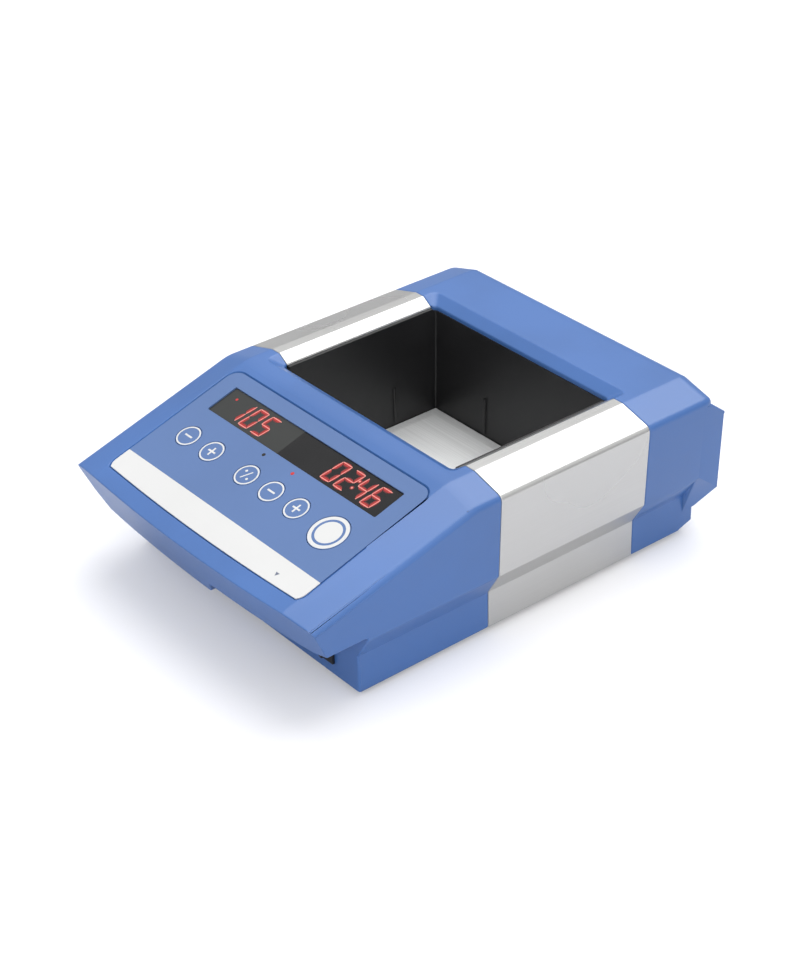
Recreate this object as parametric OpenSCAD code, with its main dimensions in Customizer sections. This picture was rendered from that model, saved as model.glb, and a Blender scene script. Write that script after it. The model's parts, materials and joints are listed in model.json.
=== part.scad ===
// Dry bath incubator: a bench heater for one tube block, with moulded end housings,
// aluminium side profiles and a sloping key panel. Millimetres, +Z up.
// The origin is the middle of the footprint, on the table. The front faces -Y.

/* [Overall body] */
// Width of the body at its waist
body_w = 200; // [192:1:215]
// Height of the flat roof above the body's bottom edge
roof_h = 87.2; // [84:0.1:95]
// Length of the side profiles between the two end housings
profile_len = 98.7; // [94:0.1:115]
// Reach of the front lip ahead of the front seam
front_reach = 119.5; // [116:0.5:126]
// Reach of the rear connector step behind the rear seam
rear_reach = 55.3; // [54:0.1:62]
// Height of the rubber feet below the body's bottom edge
foot_h = 3; // [2.5:0.1:6]
// Wall thickness of the moulded housings
wall = 3; // [2:0.1:3.4]

/* [Roof and sides] */
// Width of the flat crest along each side of the roof
crest_w = 6.4; // [5:0.1:8]
// Slope of the outer roof facets
roof_slope = 16; // [13:0.5:20]
// Lean of the sides, outwards from the waist to the roof
side_lean = 2.5; // [0:0.1:3.5]
// Radius of the shoulder between roof facet and side
shoulder_r = 4; // [3:0.1:5]
// Height of the waist, where the side starts to slope inwards
waist_h = 34.9; // [32:0.1:38]
// Height of the foot of the waist slope
waist_low_h = 21.5; // [18:0.1:23]
// Step inwards from the side to the base below the waist
waist_in = 8.2; // [6:0.1:9]
// Wall thickness of the extruded side profiles
profile_t = 2.5; // [1.8:0.1:3]

/* [Well] */
// Width of the well's mouth
well_w = 138.4; // [132:0.2:142]
// Reach of the well's mouth ahead of the front seam
well_ahead = 3.1; // [2.6:0.1:3.6]
// Reach of the well's mouth behind the rear seam
well_behind = 2.6; // [2.2:0.1:3.2]
// Width of the sloping rim around the mouth
rim_w = 6.3; // [5:0.1:7]
// Drop of the sloping rim
rim_drop = 4.2; // [3:0.1:5]
// Height of the upright face under the rim at the front and rear
rim_face = 2.2; // [2:0.1:3.5]
// Corner radius of the rim's upper edge
rim_r = 4; // [3.5:0.1:6]
// Height of the heater plate's top above the body's bottom edge
floor_h = 21.5; // [20:0.1:26]
// Wall thickness of the well liner
liner_t = 2; // [1.5:0.1:2.4]
// Draft of the liner's front and rear walls from the rim to the floor
liner_draft = 1.5; // [1:0.1:2]
// Width of the liner's ledge along the side profiles
liner_ledge = 2; // [1.4:0.1:2.1]
// Height of the locating ribs in the well
rib_h = 22; // [15:1:30]
// Thickness of a locating rib
rib_t = 1.2; // [1:0.1:2]
// Distance of the front and rear ribs from the middle of the well
rib_x = 25; // [15:1:45]
// Distance of the side ribs from the middle of the well
rib_y = 20.5; // [15:0.5:35]

/* [Heater] */
// Thickness of the heater plate
plate_t = 8; // [7:0.5:10]
// Width of the sloping border of the heater plate
plate_border = 7; // [5:0.5:9]
// Drop of the plate's sloping border
plate_drop = 1.4; // [0.8:0.1:2]
// Gap between heater plate and liner
plate_gap = 0.5; // [0.4:0.1:0.8]
// Thickness of the heating mat
mat_t = 1.5; // [1:0.1:2]
// Thickness of the insulation pad under the heating mat
pad_t = 5; // [3:0.5:6]
// Thickness of the insulation jacket around the liner
jacket_t = 5; // [3:0.5:6]

/* [Front panel] */
// Slope of the key panel
panel_slope = 17; // [15:0.5:18]
// Distance of the bend between roof and panel ahead of the front seam
bend_ahead = 16.4; // [15:0.1:18]
// Radius of the bend between roof and panel
bend_r = 25; // [15:1:35]
// Thickness of the wall under the key panel
panel_t = 3.6; // [3.4:0.1:4]
// Tilt of the lip's front face
lip_tilt = 24.4; // [20:0.2:28]
// Radius of the lip's bow, seen from above
lip_bow_r = 1220; // [1000:10:1500]
// Half width of the panel between the roof facets at the lip
lip_crest_x = 80; // [76:0.5:84]
// Drop of the roof facets at the lip
lip_drop = 3.4; // [2.5:0.1:4.5]
// Height of the lip's lower edge on the left
skirt_h = 23.4; // [22.5:0.1:26]
// Height of the raised lower edge over the power switch
arch_h = 31.6; // [31:0.1:34]
// Height of the lower edge at the right corner of the lip
arch_corner_h = 36.8; // [35:0.1:39]
// Start of the raised edge, to the right of the middle
arch_x = 3; // [0:0.5:10]
// Distance of the base's front face ahead of the front seam
base_ahead = 82; // [80:0.5:86]
// Corner radius of the base
base_r = 1.5; // [1.2:0.1:4]

/* [Rear] */
// Distance of the roof's rear end behind the rear seam
roof_behind = 45.3; // [44:0.1:46]
// Length over which the roof's rear edge curves down
roof_end_run = 6; // [4.5:0.5:8]
// Depth of the curve at the roof's rear edge
roof_end_fall = 2.5; // [1.5:0.1:3.5]
// Height of the top of the connector step where it meets the body
step_top_h = 77.5; // [75:0.5:79]
// Height of the rear edge of the connector step
step_edge_h = 69.5; // [66:0.5:72]
// Height of the lower edge of the connector step
step_low_h = 23.2; // [22.5:0.1:27]
// Draft of the connector step's rear face
step_draft = 0.9; // [0.5:0.1:2]
// Distance of the base's rear face behind the rear seam
base_behind = 44.6; // [42:0.1:46]
// Inward step from the body's sides to the sides of the connector step
step_in = 0.3; // [0.2:0.1:1.5]
// Height of the foot of the slope under the connector step
base_rear_h = 11.3; // [9:0.1:14]
// Length of the shallow chamfer at the base's rear bottom edge
base_chamfer = 10.4; // [7:0.1:12]
// Height of that chamfer
base_chamfer_h = 4; // [2:0.1:5]

/* [Overlay and window] */
// Width of the printed overlay
overlay_w = 160.8; // [156:0.2:164]
// Top edge of the overlay, down the panel from the bend
overlay_top = 8.6; // [7:0.1:10]
// Bottom edge of the overlay at its middle, down the panel from the bend
overlay_low = 96.8; // [94:0.1:98]
// Top edge of the white strip, down the panel from the bend
strip_top = 81; // [78:0.2:84]
// Corner radius of the overlay
overlay_r = 7; // [4:0.5:9]
// Radius of the bow of the overlay's bottom edge
overlay_bow_r = 1500; // [1200:50:1900]
// Thickness of the overlay film and the white strip
film_t = 0.8; // [0.5:0.1:0.9]
// Depth of the recess for the overlay
recess_d = 1; // [0.9:0.1:1.2]
// Groove left open around the overlay
groove = 0.6; // [0.3:0.1:0.8]
// Width of the display window
window_w = 138.2; // [134:0.2:142]
// Height of the display window along the panel
window_h = 19.5; // [18:0.1:21]
// Top edge of the window, down the panel from the bend
window_top = 17.6; // [16:0.1:19]
// Thickness of the window pane
window_t = 1.5; // [1:0.1:1.6]
// Margin of the window pane behind the overlay
window_margin = 1; // [0.6:0.1:1.4]

/* [Keys] */
// Radius of a small key
key_r = 7; // [6:0.1:7.6]
// Radius of the start key
start_r = 10.9; // [9.5:0.1:11.5]
// Spacing of neighbouring small keys
key_pitch = 20.5; // [19:0.1:22]
// Place of the first temperature key from the middle
temp_key_x = -60.7; // [-62:0.1:-58]
// Place of the mode key from the middle
mode_key_x = -10.2; // [-14:0.1:-9]
// Place of the start key from the middle
start_key_x = 57.7; // [56:0.1:59]
// Row of the small keys, down the panel from the bend
key_row = 56.1; // [54:0.1:58]
// Gap around a moving key
key_gap = 0.3; // [0.2:0.05:0.4]

/* [Display and control board] */
// Depth of the control board's top below the panel
board_depth = 12; // [11.6:0.1:13]
// Thickness of the circuit boards
board_t = 1.6; // [1:0.1:2]
// Height of a display module above the board
display_t = 8; // [7:0.1:8]
// Spacing of the digits
digit_pitch = 10.4; // [10:0.1:11]
// Middle digit of the temperature display, from the middle
temp_digit_x = -41.5; // [-45:0.1:-40]
// Middle of the time display, from the middle
time_digit_x = 42.6; // [38:0.1:46]
// Row of the two mode lights, down the panel from the bend
light_row = 41.6; // [40.5:0.1:43]
// Place of the left mode light from the middle
light_x = -14.4; // [-18:0.1:-10]
// Spacing of the two mode lights
light_pitch = 23.9; // [20:0.1:26]
// Radius of a mode light
light_r = 0.8; // [0.6:0.1:1]

/* [Power switch] */
// Width of the power switch's bezel
switch_w = 30; // [28:0.5:32]
// Height of the power switch's bezel
switch_h = 22; // [20:0.5:23]
// Place of the power switch from the middle
switch_x = 57.9; // [50:0.1:60]
// Height of the power switch's middle above the body's bottom edge
switch_z = 17.7; // [17:0.1:19]
// Depth of the switch body behind the front face
switch_d = 24; // [20:0.5:28]
// Tilt of the rocker to each side
rocker_tilt = 9; // [6:0.5:11]

/* [Rear connectors] */
// Place of the mains inlet from the middle
inlet_x = 52; // [45:1:60]
// Height of the connectors above the body's bottom edge
inlet_z = 47; // [45:0.5:49]
// Depth of the pockets that the connectors stand in
pocket_d = 2.6; // [2.4:0.1:3]
// Place of the sensor socket from the middle
socket_x = -58; // [-70:1:-45]
// Radius of the sensor socket's bore
socket_r = 5; // [4:0.1:6]

/* [Base and feet] */
// Thickness of the base plate
base_t = 1.5; // [1:0.1:2]
// Setting of the base plate above the body's bottom edge
base_up = 0.6; // [0.4:0.1:1]
// Radius of a rubber foot
foot_r = 7; // [6:0.5:9]
// Distance of the feet from the middle
foot_x = 76; // [70:1:79]
// Width of a vent slot
slot_w = 3; // [2:0.5:4]
// Length of a vent slot
slot_len = 22; // [15:1:26]

/* [Hidden] */
$fn = 64;
e = 0.01;

// Colours
blue = [0.42, 0.54, 0.78];
deep_blue = [0.44, 0.53, 0.74];
silver = [0.82, 0.83, 0.83];
black = [0.12, 0.12, 0.13];
white = [0.93, 0.93, 0.93];
steel = [0.66, 0.67, 0.69];
green = [0.1, 0.4, 0.25];
wool = [0.88, 0.84, 0.72];

// Overall places, from the front seam and the body's bottom edge
half_w = body_w / 2;
total_len = front_reach + profile_len + rear_reach;
seam_y = front_reach - total_len / 2;
rear_seam = profile_len;
back = profile_len + rear_reach;

// Roof, sides and waist
crest_in = well_w / 2 + rim_w;
crest_out = crest_in + crest_w;
lean = tan(side_lean);
roof_drop = (half_w + lean * (roof_h - waist_h) - crest_out) /
            (1 / tan(roof_slope) + lean);
base_half = half_w - waist_in;
seat_h = roof_h - rim_drop - rim_face;

// Well and liner
well_front = -well_ahead;
well_rear = rear_seam + well_behind;
well_mid = (well_front + well_rear) / 2;
liner_in = 0.7;
liner_low = floor_h - 3.5;
plate_half_w = well_w / 2 - liner_in - liner_draft - plate_gap;
plate_half_l = (well_rear - well_front) / 2 - liner_in - liner_draft - plate_gap;
plate_under = floor_h - plate_t;
flange_out = 4.5;

// Base and screws
base_top = base_up + base_t;
ledge_t = 2;
ledge_in = 5.3;
tap_r = 1.4;
screw_r = 1.35;
pass_r = 1.7;
head_r = 2.6;
head_h = 1.8;
screw_len = 12;
port_r = 3.8;
port_bite = 0.4;
port_high_z = 68;
port_high = [side_x(port_high_z) - profile_t - port_r + port_bite, port_high_z];
port_low = [base_half - profile_t - port_r + port_bite, 12];
ports = [port_high, port_low];
boss_r = 4;
boss_bite = 0.5;
boss_x = base_half - wall - boss_r + boss_bite;
boss_front = -base_ahead + wall + boss_r - boss_bite;
plate_end = rear_seam + base_behind - wall - 1.25 * base_chamfer - 0.3;
boss_rear = plate_end - boss_r;
ledge_screws = [0.2, 0.8];
ledge_screw_x = base_half - profile_t - ledge_in / 2 - 0.4;
foot_ahead = -base_ahead + 17;
foot_behind = rear_seam + base_behind - 27;

// Panel, measured down the slope from the bend
board_half = 76;
board_rows = [13, 80];
board_bosses = [[-71.5, 45.5], [71.5, 45.5], [-71.5, 75], [71.5, 75]];
start_row = key_row + start_r - key_r - 2.8;
small_keys = [temp_key_x, temp_key_x + key_pitch, mode_key_x, mode_key_x + key_pitch,
              mode_key_x + 2 * key_pitch];
key_flange = 1.2;
stem_r = 1.5;
tact_w = 6;
tact_h = 3.5;
tact_bore = 2.6;
face_gap = 0.2;
window_row = window_top + window_h / 2;
lights = [light_x, light_x + light_pitch];

// Power switch
switch_face = -base_ahead;
bezel_t = 1.5;
bezel_rim = 2.5;
hinge_back = 1.6;
rocker_half = switch_w / 2 - bezel_rim - 1;
rocker_high = switch_h / 2 - bezel_rim - 0.4;
pin_r = 1.2;

// Rear connectors
panel_y = back - step_draft - pocket_d;
rear_panel_t = 3;
inlet_w = 27.6;
inlet_h = 32;
inlet_flange = 2.2;
inlet_flange_t = 1.8;
inlet_depth = 24;
mouth_w = 24.4;
mouth_h = 16.6;
mouth_z = inlet_z + 5.6;
mouth_deep = 16;
drawer_z = inlet_z - 9.6;
drawer_w = 22.4;
drawer_h = 8;
drawer_deep = 19;
drawer_gap = 0.3;
socket_out = 8.5;

// Electronics
power_z = base_top + 6;
power_y = rear_seam + jacket_t + 7;
power_d = 26;
power_half = 66;

// Places the children, drawn from the front seam and the body's bottom edge
module placed() { translate([0, seam_y, foot_h]) children(); }

// Places the children on the key panel: x to the right, y up the slope, z out of it
module on_panel() {
  placed() translate([0, -bend_ahead, roof_h]) rotate([panel_slope, 0, 0]) children();
}

// The children's outline (x, z), run along the body from y0 to y1
module along(y0, y1) { translate([0, y1, 0]) rotate([90, 0, 0]) linear_extrude(y1 - y0) children(); }

// The children's outline (y, z), run across the body from x0 to x1
module across(x0, x1) {
  translate([x0, 0, 0]) rotate([90, 0, 90]) linear_extrude(x1 - x0) children();
}

module box(lo, hi) { translate(lo) cube(hi - lo); }

module mirrored() {
  children();
  mirror([1, 0, 0]) children();
}

module rounded(w, l, r) {
  union() {
    square([w - 2 * r, l], center = true);
    square([w, l - 2 * r], center = true);
    for (x = [-1, 1], y = [-1, 1]) translate([x * (w / 2 - r), y * (l / 2 - r)]) circle(r);
  }
}

// Half width of the leaning side at height z
function side_x(z) = half_w + lean * (z - waist_h);

function heading(p, q) = (q - p) / norm(q - p);

function left_of(d) = [-d[1], d[0]];

// Corner q of the path p, q, r, moved to the path's left by t
function set_in(p, q, r, t) =
  let (m = left_of(heading(p, q)), n = left_of(heading(q, r)))
  q + t * (m + n) / (1 + m * n);

// Right half of a cross-section, from the waist's foot up to the crest, set in by t.
// top is the height of the roof, crest its half width, drop the fall of the outer facet.
function half_points(top, crest, drop, t) =
  let (foot = [base_half, waist_low_h],
       waist = [half_w, waist_h],
       shoulder = [side_x(top - drop), top - drop],
       ridge = [crest, top],
       corner = set_in(waist, shoulder, ridge, t),
       up = heading(waist, shoulder),
       turn = acos(up * heading(shoulder, ridge)),
       r = max(shoulder_r - t, 0.6),
       start = corner - r * tan(turn / 2) * up,
       out = atan2(-up[0], up[1]),
       middle = start + r * left_of(up))
  concat([set_in([base_half, 0], foot, waist, t), set_in(foot, waist, shoulder, t)],
         [for (i = [0 : 8]) let (a = out + i * turn / 8) middle + r * [cos(a), sin(a)]],
         [set_in(shoulder, ridge, [0, top], t)]);

function flipped(p) = [for (i = [len(p) - 1 : -1 : 0]) [-p[i][0], p[i][1]]];

// Closed ring of the whole cross-section, standing at y
function ring_at(y, top, crest, drop, t) =
  let (right = half_points(top, crest, drop, t))
  [for (p = concat(right, flipped(right))) [p[0], y, p[1]]];

// Solid through a row of rings with the same number of points, from front to back
module loft(rings) {
  n = len(rings[0]);
  last = (len(rings) - 1) * n;
  polyhedron(
    points = [for (r = rings) each r],
    faces = concat(
      [[for (i = [n - 1 : -1 : 0]) i]],
      [for (k = [0 : len(rings) - 2], i = [0 : n - 1]) [k * n + i, k * n + (i + 1) % n, (k + 1) * n + i]],
      [for (k = [0 : len(rings) - 2], i = [0 : n - 1])
        [(k + 1) * n + i, k * n + (i + 1) % n, (k + 1) * n + (i + 1) % n]],
      [[for (i = [0 : n - 1]) last + i]]));
}

// Height of the roof and the panel along y, with the bend as an arc
bend_run = bend_r * tan(panel_slope / 2);
bend_n = 6;
bend_steps = [for (i = [0 : bend_n])
  let (a = i * panel_slope / bend_n)
  [-bend_ahead + bend_run - bend_r * sin(a), roof_h - bend_r * (1 - cos(a))]];
lip_y = -front_reach - 4;
lip_z = roof_h - (-bend_ahead - lip_y) * tan(panel_slope);
nose_z = roof_h - (front_reach - bend_ahead) * tan(panel_slope);

function toward_lip(y) = max(0, min(1, (-bend_ahead - y) / (-bend_ahead - lip_y)));
function crest_at(y) = crest_out + (lip_crest_x - crest_out) * toward_lip(y);
function drop_at(y) = roof_drop + (lip_drop - roof_drop) * toward_lip(y);

// Bowed and tilted front face of the lip, set in by t
module lip_limit(t) {
  translate([0, -front_reach, nose_z]) rotate([lip_tilt, 0, 0])
    translate([0, lip_bow_r, -90]) cylinder(r = lip_bow_r - t, h = 120, $fn = 720);
}

// Outer form of the front end above the waist's foot, set in by t
module front_upper(t) {
  intersection() {
    loft(concat([ring_at(lip_y, lip_z, lip_crest_x, lip_drop, t)],
      [for (i = [bend_n : -1 : 0]) ring_at(bend_steps[i][0], bend_steps[i][1],
        crest_at(bend_steps[i][0]), drop_at(bend_steps[i][0]), t)],
      [ring_at(0, roof_h, crest_out, roof_drop, t)]));
    lip_limit(t);
  }
}

// The base below the waist, ahead of the front seam, set in by t. The hollow joins the one above.
module front_base(t) {
  translate([0, 0, t > 0 ? -1 : 0])
    linear_extrude(waist_low_h + (t > 0 ? 2 * wall : e)) difference() {
      translate([0, -base_ahead + t + base_ahead])
        rounded(2 * (base_half - t), 2 * base_ahead, base_r);
      translate([-half_w, 0]) square([body_w, 2 * base_ahead]);
    }
}

// Space under the lip, grown by g: low on the left, raised over the power switch
module under_lip(g) {
  end = half_w + 1;
  along(-front_reach - 1, -base_ahead + g)
    polygon([[-end, -1], [end, -1], [end, arch_corner_h + g],
             [base_half - 3, arch_h + 1.6 + g], [switch_x + 12, arch_h + 0.4 + g],
             [arch_x + 5.5 - g, arch_h + g], [arch_x - g, skirt_h + g], [-end, skirt_h + g]]);
}

// Mouth of the well and its sloping rim
module well_outline(grow) {
  translate([0, well_mid])
    rounded(well_w + 2 * grow, well_rear - well_front + 2 * grow, well_ahead + grow);
}

// Closed ring of the well's outline at height z, grown by g in x and y, with corner radius r
function well_ring(z, g, r) =
  [for (k = [0 : 3], i = [0 : 8])
    let (a = 90 - 90 * k - 11.25 * i,
         sx = k < 2 ? 1 : -1,
         sy = k == 0 || k == 3 ? 1 : -1)
    [sx * (well_w / 2 + g[0] - r) + r * cos(a),
     well_mid + sy * ((well_rear - well_front) / 2 + g[1] - r) + r * sin(a), z]];

module well_mouth() {
  loft([well_ring(waist_low_h, [0, 0], well_ahead),
        well_ring(roof_h - rim_drop, [0, 0], well_ahead),
        well_ring(roof_h + rim_drop, 2 * rim_w * [1, 1], 2 * rim_r - well_ahead)]);
}

// Thick collar of an end housing that carries the rim, from y0 to y1
module rim_collar(y0, y1) {
  reach = crest_in + 2;
  box([-reach, y0, seat_h], [reach, y1, roof_h - wall / 2]);
}

// Screwed lugs of an end housing against the ends of the side profiles
module profile_lugs(y0, y1) {
  mirrored() {
    for (p = ports)
      box([p[0] - 6, y0, p[1] - 6], [p[0] + port_r, y1, p[1] + 6]);
  }
}

module along_hole(r, p, y0, y1) {
  mirrored() translate([p[0], y1, p[1]]) rotate([90, 0, 0]) cylinder(r = r, h = y1 - y0);
}

// Bosses for the base plate's screws, at y, with their wall web
module base_boss(y) {
  mirrored() {
    translate([boss_x, y, base_top]) cylinder(r = boss_r, h = waist_low_h - base_top);
    box([boss_x, y - 1.2, base_top], [base_half - wall + 0.2, y + 1.2, waist_low_h]);
  }
}

module base_boss_hole(y) {
  mirrored() translate([boss_x, y, base_top - 1]) cylinder(r = tap_r, h = 11);
}

// Plan of the overlay between two rows, grown by g. The bottom is bowed like the lip.
module overlay_plan(row0, row1, g) {
  intersection() {
    translate([0, -(overlay_top + overlay_low) / 2])
      rounded(overlay_w + 2 * g, overlay_low - overlay_top + 2 * g, overlay_r + g);
    translate([0, overlay_bow_r - overlay_low - g]) circle(overlay_bow_r, $fn = 900);
    translate([-overlay_w, -row1]) square([2 * overlay_w, row1 - row0]);
  }
}

module key_hole(x, row, r) {
  translate([x, -row, -panel_t - 2]) cylinder(r = r + key_gap, h = panel_t + 4);
}

module all_key_holes() {
  for (x = small_keys) key_hole(x, key_row, key_r);
  key_hole(start_key_x, start_row, start_r);
}

module light_holes(r) {
  for (x = lights) translate([x, -light_row, -panel_t - 2]) cylinder(r = r, h = panel_t + 4);
}

module window_plan(grow, r) {
  translate([0, -window_row]) rounded(window_w + 2 * grow, window_h + 2 * grow, r);
}

// Moulded front end: roof ahead of the well, key panel, lip and front base
module front_housing() {
  color(blue) difference() {
    union() {
      placed() difference() {
        union() {
          front_upper(0);
          front_base(0);
        }
        difference() {
          union() {
            front_upper(wall);
            front_base(wall);
          }
          under_lip(wall);
        }
        under_lip(0);
      }
      placed() intersection() {
        rim_collar(well_front - rim_w - wall, 0);
        front_upper(0);
      }
      placed() profile_lugs(-wall, 0);
      placed() base_boss(boss_front);
      intersection() {
        on_panel() {
          translate([0, 0, -panel_t])
            linear_extrude(panel_t - recess_d / 2) overlay_plan(overlay_top, overlay_low, wall);
          for (b = board_bosses)
            translate([b[0], -b[1], -board_depth]) cylinder(r = 3.2, h = board_depth - 1);
        }
        placed() front_upper(0);
      }
    }
    placed() {
      well_mouth();
      for (p = ports) along_hole(pass_r, p, -wall - 1, 1);
      base_boss_hole(boss_front);
      box([switch_x - switch_w / 2 + 0.8, switch_face - 1, switch_z - switch_h / 2 + 0.8],
          [switch_x + switch_w / 2 - 0.8, switch_face + wall + 1, switch_z + switch_h / 2 - 0.8]);
    }
    on_panel() {
      translate([0, 0, -recess_d])
        linear_extrude(2 * recess_d) overlay_plan(0, overlay_low + 2, groove);
      translate([0, 0, -recess_d - window_t])
        linear_extrude(window_t + 1) window_plan(window_margin + 0.2, 1.2);
      translate([0, 0, -panel_t - 2])
        linear_extrude(panel_t + 2) window_plan(-1, 1);
      all_key_holes();
      light_holes(light_r + key_gap);
      for (b = board_bosses)
        translate([b[0], -b[1], -board_depth - 1]) cylinder(r = 1.25, h = 9);
    }
  }
}

// Outer form of the rear end above the waist's foot, set in by t
module rear_upper(t) {
  run = max(roof_end_run - t, 1);
  fall = max(roof_end_fall - t, 0.5);
  turn = rear_seam + roof_behind - t - run;
  loft(concat([ring_at(rear_seam, roof_h, crest_out, roof_drop, t)],
    [for (a = [0 : 11.25 : 90])
      ring_at(turn + run * sin(a), roof_h, crest_out, roof_drop, t + fall * (1 - cos(a)))]));
}

// Thin slab across the body that ends at y, from height and half width lo up to hi
module slab(y, lo, hi) {
  along(y - e, y) polygon([[-lo[0], lo[1]], lo, hi, [-hi[0], hi[1]]]);
}

// Connector step across the back, set in by t
module rear_step(t) {
  root = rear_seam + roof_behind - 8;
  waist_end = [rear_seam + 40.8, waist_h + 1.4];
  foot_start = [rear_seam + 36.6, waist_low_h + 0.6];
  function side(z, g) = [side_x(z) - g - t, z];
  hull() {
    slab(root, side(waist_end[1] + t, 0), side(step_top_h - t, 0));
    slab(waist_end[0], side(waist_end[1] + t, 0), side(step_top_h - t, 0));
    slab(rear_seam + roof_behind - t / 2, side(waist_end[1], step_in / 2), side(step_top_h - t, step_in));
    slab(back - 1.2 - t, side(step_low_h + t, step_in), side(step_edge_h + 1 - t, step_in));
    slab(back - t, side(step_edge_h - 1 - t, step_in), side(step_edge_h - t, step_in));
    slab(back - step_draft - t, side(step_low_h + t / 2, step_in), side(step_edge_h - 4 - t, step_in));
    box([-base_half + t, foot_start[0] + t, base_rear_h + t],
        [base_half - t, rear_seam + base_behind - t, foot_start[1] + t]);
  }
}

// The base behind the rear seam, set in by t, with its chamfered bottom edge
module rear_base(t) {
  end = base_behind - t;
  up = 0.6 * t;
  far = end - 1.25 * base_chamfer;
  translate([0, rear_seam, 0]) intersection() {
    translate([0, 0, -e]) linear_extrude(waist_low_h + (t > 0 ? 2 * wall : 2 * e)) difference() {
      rounded(2 * (base_half - t), 2 * end, base_r);
      translate([-half_w, -2 * end]) square([body_w, 2 * end]);
    }
    across(-half_w, half_w)
      polygon([[-1, -1], [far - e, -1], [far, up - base_chamfer_h / 4], [end, base_chamfer_h + up],
               [end, half_w], [-1, half_w]]);
  }
}

module inlet_pocket() {
  w = inlet_w / 2 + inlet_flange + 0.4;
  h = inlet_h / 2 + inlet_flange + 0.4;
  box([inlet_x - w, panel_y, inlet_z - h], [inlet_x + w, back + 1, inlet_z + h]);
  box([inlet_x - inlet_w / 2 - 0.2, panel_y - 9, inlet_z - inlet_h / 2 - 0.2],
      [inlet_x + inlet_w / 2 + 0.2, panel_y + 1, inlet_z + inlet_h / 2 + 0.2]);
}

module socket_pocket() {
  translate([socket_x, back + 1, inlet_z]) rotate([90, 0, 0])
    cylinder(r = socket_out + 0.8, h = back + 1 - panel_y);
  translate([socket_x, back, inlet_z]) rotate([90, 0, 0]) cylinder(r = socket_r + 2.2, h = 20);
}

// Moulded rear end: roof behind the well, connector step and rear base
module rear_housing() {
  color(blue) placed() difference() {
    union() {
      difference() {
        union() {
          rear_upper(0);
          rear_step(0);
          rear_base(0);
        }
        rear_upper(wall);
        rear_step(wall);
        rear_base(wall);
      }
      rim_collar(rear_seam, well_rear + rim_w + wall);
      profile_lugs(rear_seam, rear_seam + wall);
      base_boss(boss_rear);
      box([inlet_x - inlet_w / 2 - 6, panel_y - rear_panel_t, inlet_z - inlet_h / 2 - 4.2],
          [inlet_x + inlet_w / 2 + 6, back - step_draft - 1, inlet_z + inlet_h / 2 + 4.2]);
      translate([socket_x, back - step_draft - 1, inlet_z]) rotate([90, 0, 0])
        cylinder(r = socket_out + 3.5, h = pocket_d + rear_panel_t - 1);
    }
    well_mouth();
    for (p = ports) along_hole(pass_r, p, rear_seam - 1, rear_seam + wall + 1);
    base_boss_hole(boss_rear);
    inlet_pocket();
    socket_pocket();
  }
}

// Outline of the right side profile, solid, with the well's rim as its inner edge
module profile_outline() {
  rim_low = roof_h - rim_drop;
  polygon(concat([[base_half - profile_t, 0], [base_half, 0]],
                 half_points(roof_h, crest_out, roof_drop, 0),
                 [[crest_in, roof_h], [well_w / 2, rim_low], [well_w / 2, rim_low - 0.4],
                  [crest_in - 1, rim_low - 0.4], [crest_in - 1, 0]]));
}

module profile_hollow() {
  t = profile_t;
  lip_low = roof_h - rim_drop - 0.4;
  difference() {
    polygon(concat([[base_half - t, -1]], half_points(roof_h, crest_out, roof_drop, t),
                   [[crest_in, roof_h - t], [crest_in - 1, lip_low], [crest_in - 2, lip_low],
                    [crest_in - 2, -1]]));
    translate([base_half - t - ledge_in, base_top]) square([ledge_in + 1, ledge_t]);
    for (p = ports) translate(p) circle(port_r);
  }
}

module side_profile() {
  difference() {
    along(0, profile_len) difference() {
      profile_outline();
      profile_hollow();
      for (p = ports) translate(p) circle(tap_r);
    }
    for (k = ledge_screws)
      translate([ledge_screw_x, k * profile_len, 0]) cylinder(r = tap_r, h = 10);
  }
}

module side_profile_left() { color(silver) placed() mirror([1, 0, 0]) side_profile(); }

module side_profile_right() { color(silver) placed() side_profile(); }

function base_holes() =
  [for (x = [-1, 1], y = [boss_front, boss_rear]) [x * boss_x, y],
   for (x = [-1, 1], k = ledge_screws) [x * ledge_screw_x, k * profile_len]];

function spacer_places() =
  [for (x = [-1, 1], y = [-1, 1]) [x * (plate_half_w - 9), well_mid + y * (plate_half_l - 10)]];

function standoff_places() =
  [for (x = [-1, 1], y = [3, 10.5]) [x * (power_half - 5), power_y + y]];

function feet() = [for (x = [-1, 1], y = [foot_ahead, foot_behind]) [x * foot_x, y]];

// Folded sheet-steel base with vent slots under the electronics
module base_plate() {
  w = base_half - wall - 0.3;
  y0 = -base_ahead + wall + 0.3;
  color(steel) placed() difference() {
    translate([0, (y0 + plate_end) / 2, base_up]) linear_extrude(base_t)
      rounded(2 * w, plate_end - y0, base_r);
    for (h = base_holes()) translate([h[0], h[1], -1]) cylinder(r = pass_r, h = 5);
    for (h = spacer_places()) translate([h[0], h[1], -1]) cylinder(r = pass_r, h = 5);
    for (h = standoff_places()) translate([h[0], h[1], -1]) cylinder(r = pass_r, h = 5);
    for (f = feet()) translate([f[0], f[1], -1]) cylinder(r = foot_r / 3, h = 5);
    for (i = [-4 : 4], y = [-base_ahead / 2 - 4, power_y - 7])
      translate([i * slot_w * 3, y, -1]) linear_extrude(5) translate([0, slot_len / 2 - 4])
        rounded(slot_w, slot_len, slot_w / 2 - e);
  }
}

// Rubber feet with a plug pressed through the base plate
module rubber_feet() {
  color(black) placed() for (f = feet()) translate([f[0], f[1], -foot_h])
    rotate_extrude() polygon([[0, 0], [foot_r - 1, 0], [foot_r, 0.8], [foot_r, foot_h + base_up],
      [foot_r / 3 - 0.1, foot_h + base_up], [foot_r / 3 - 0.1, foot_h + base_top],
      [foot_r / 3 + 0.6, foot_h + base_top], [foot_r / 3 - 0.2, foot_h + base_top + 1.4],
      [0, foot_h + base_top + 1.4]]);
}

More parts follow.
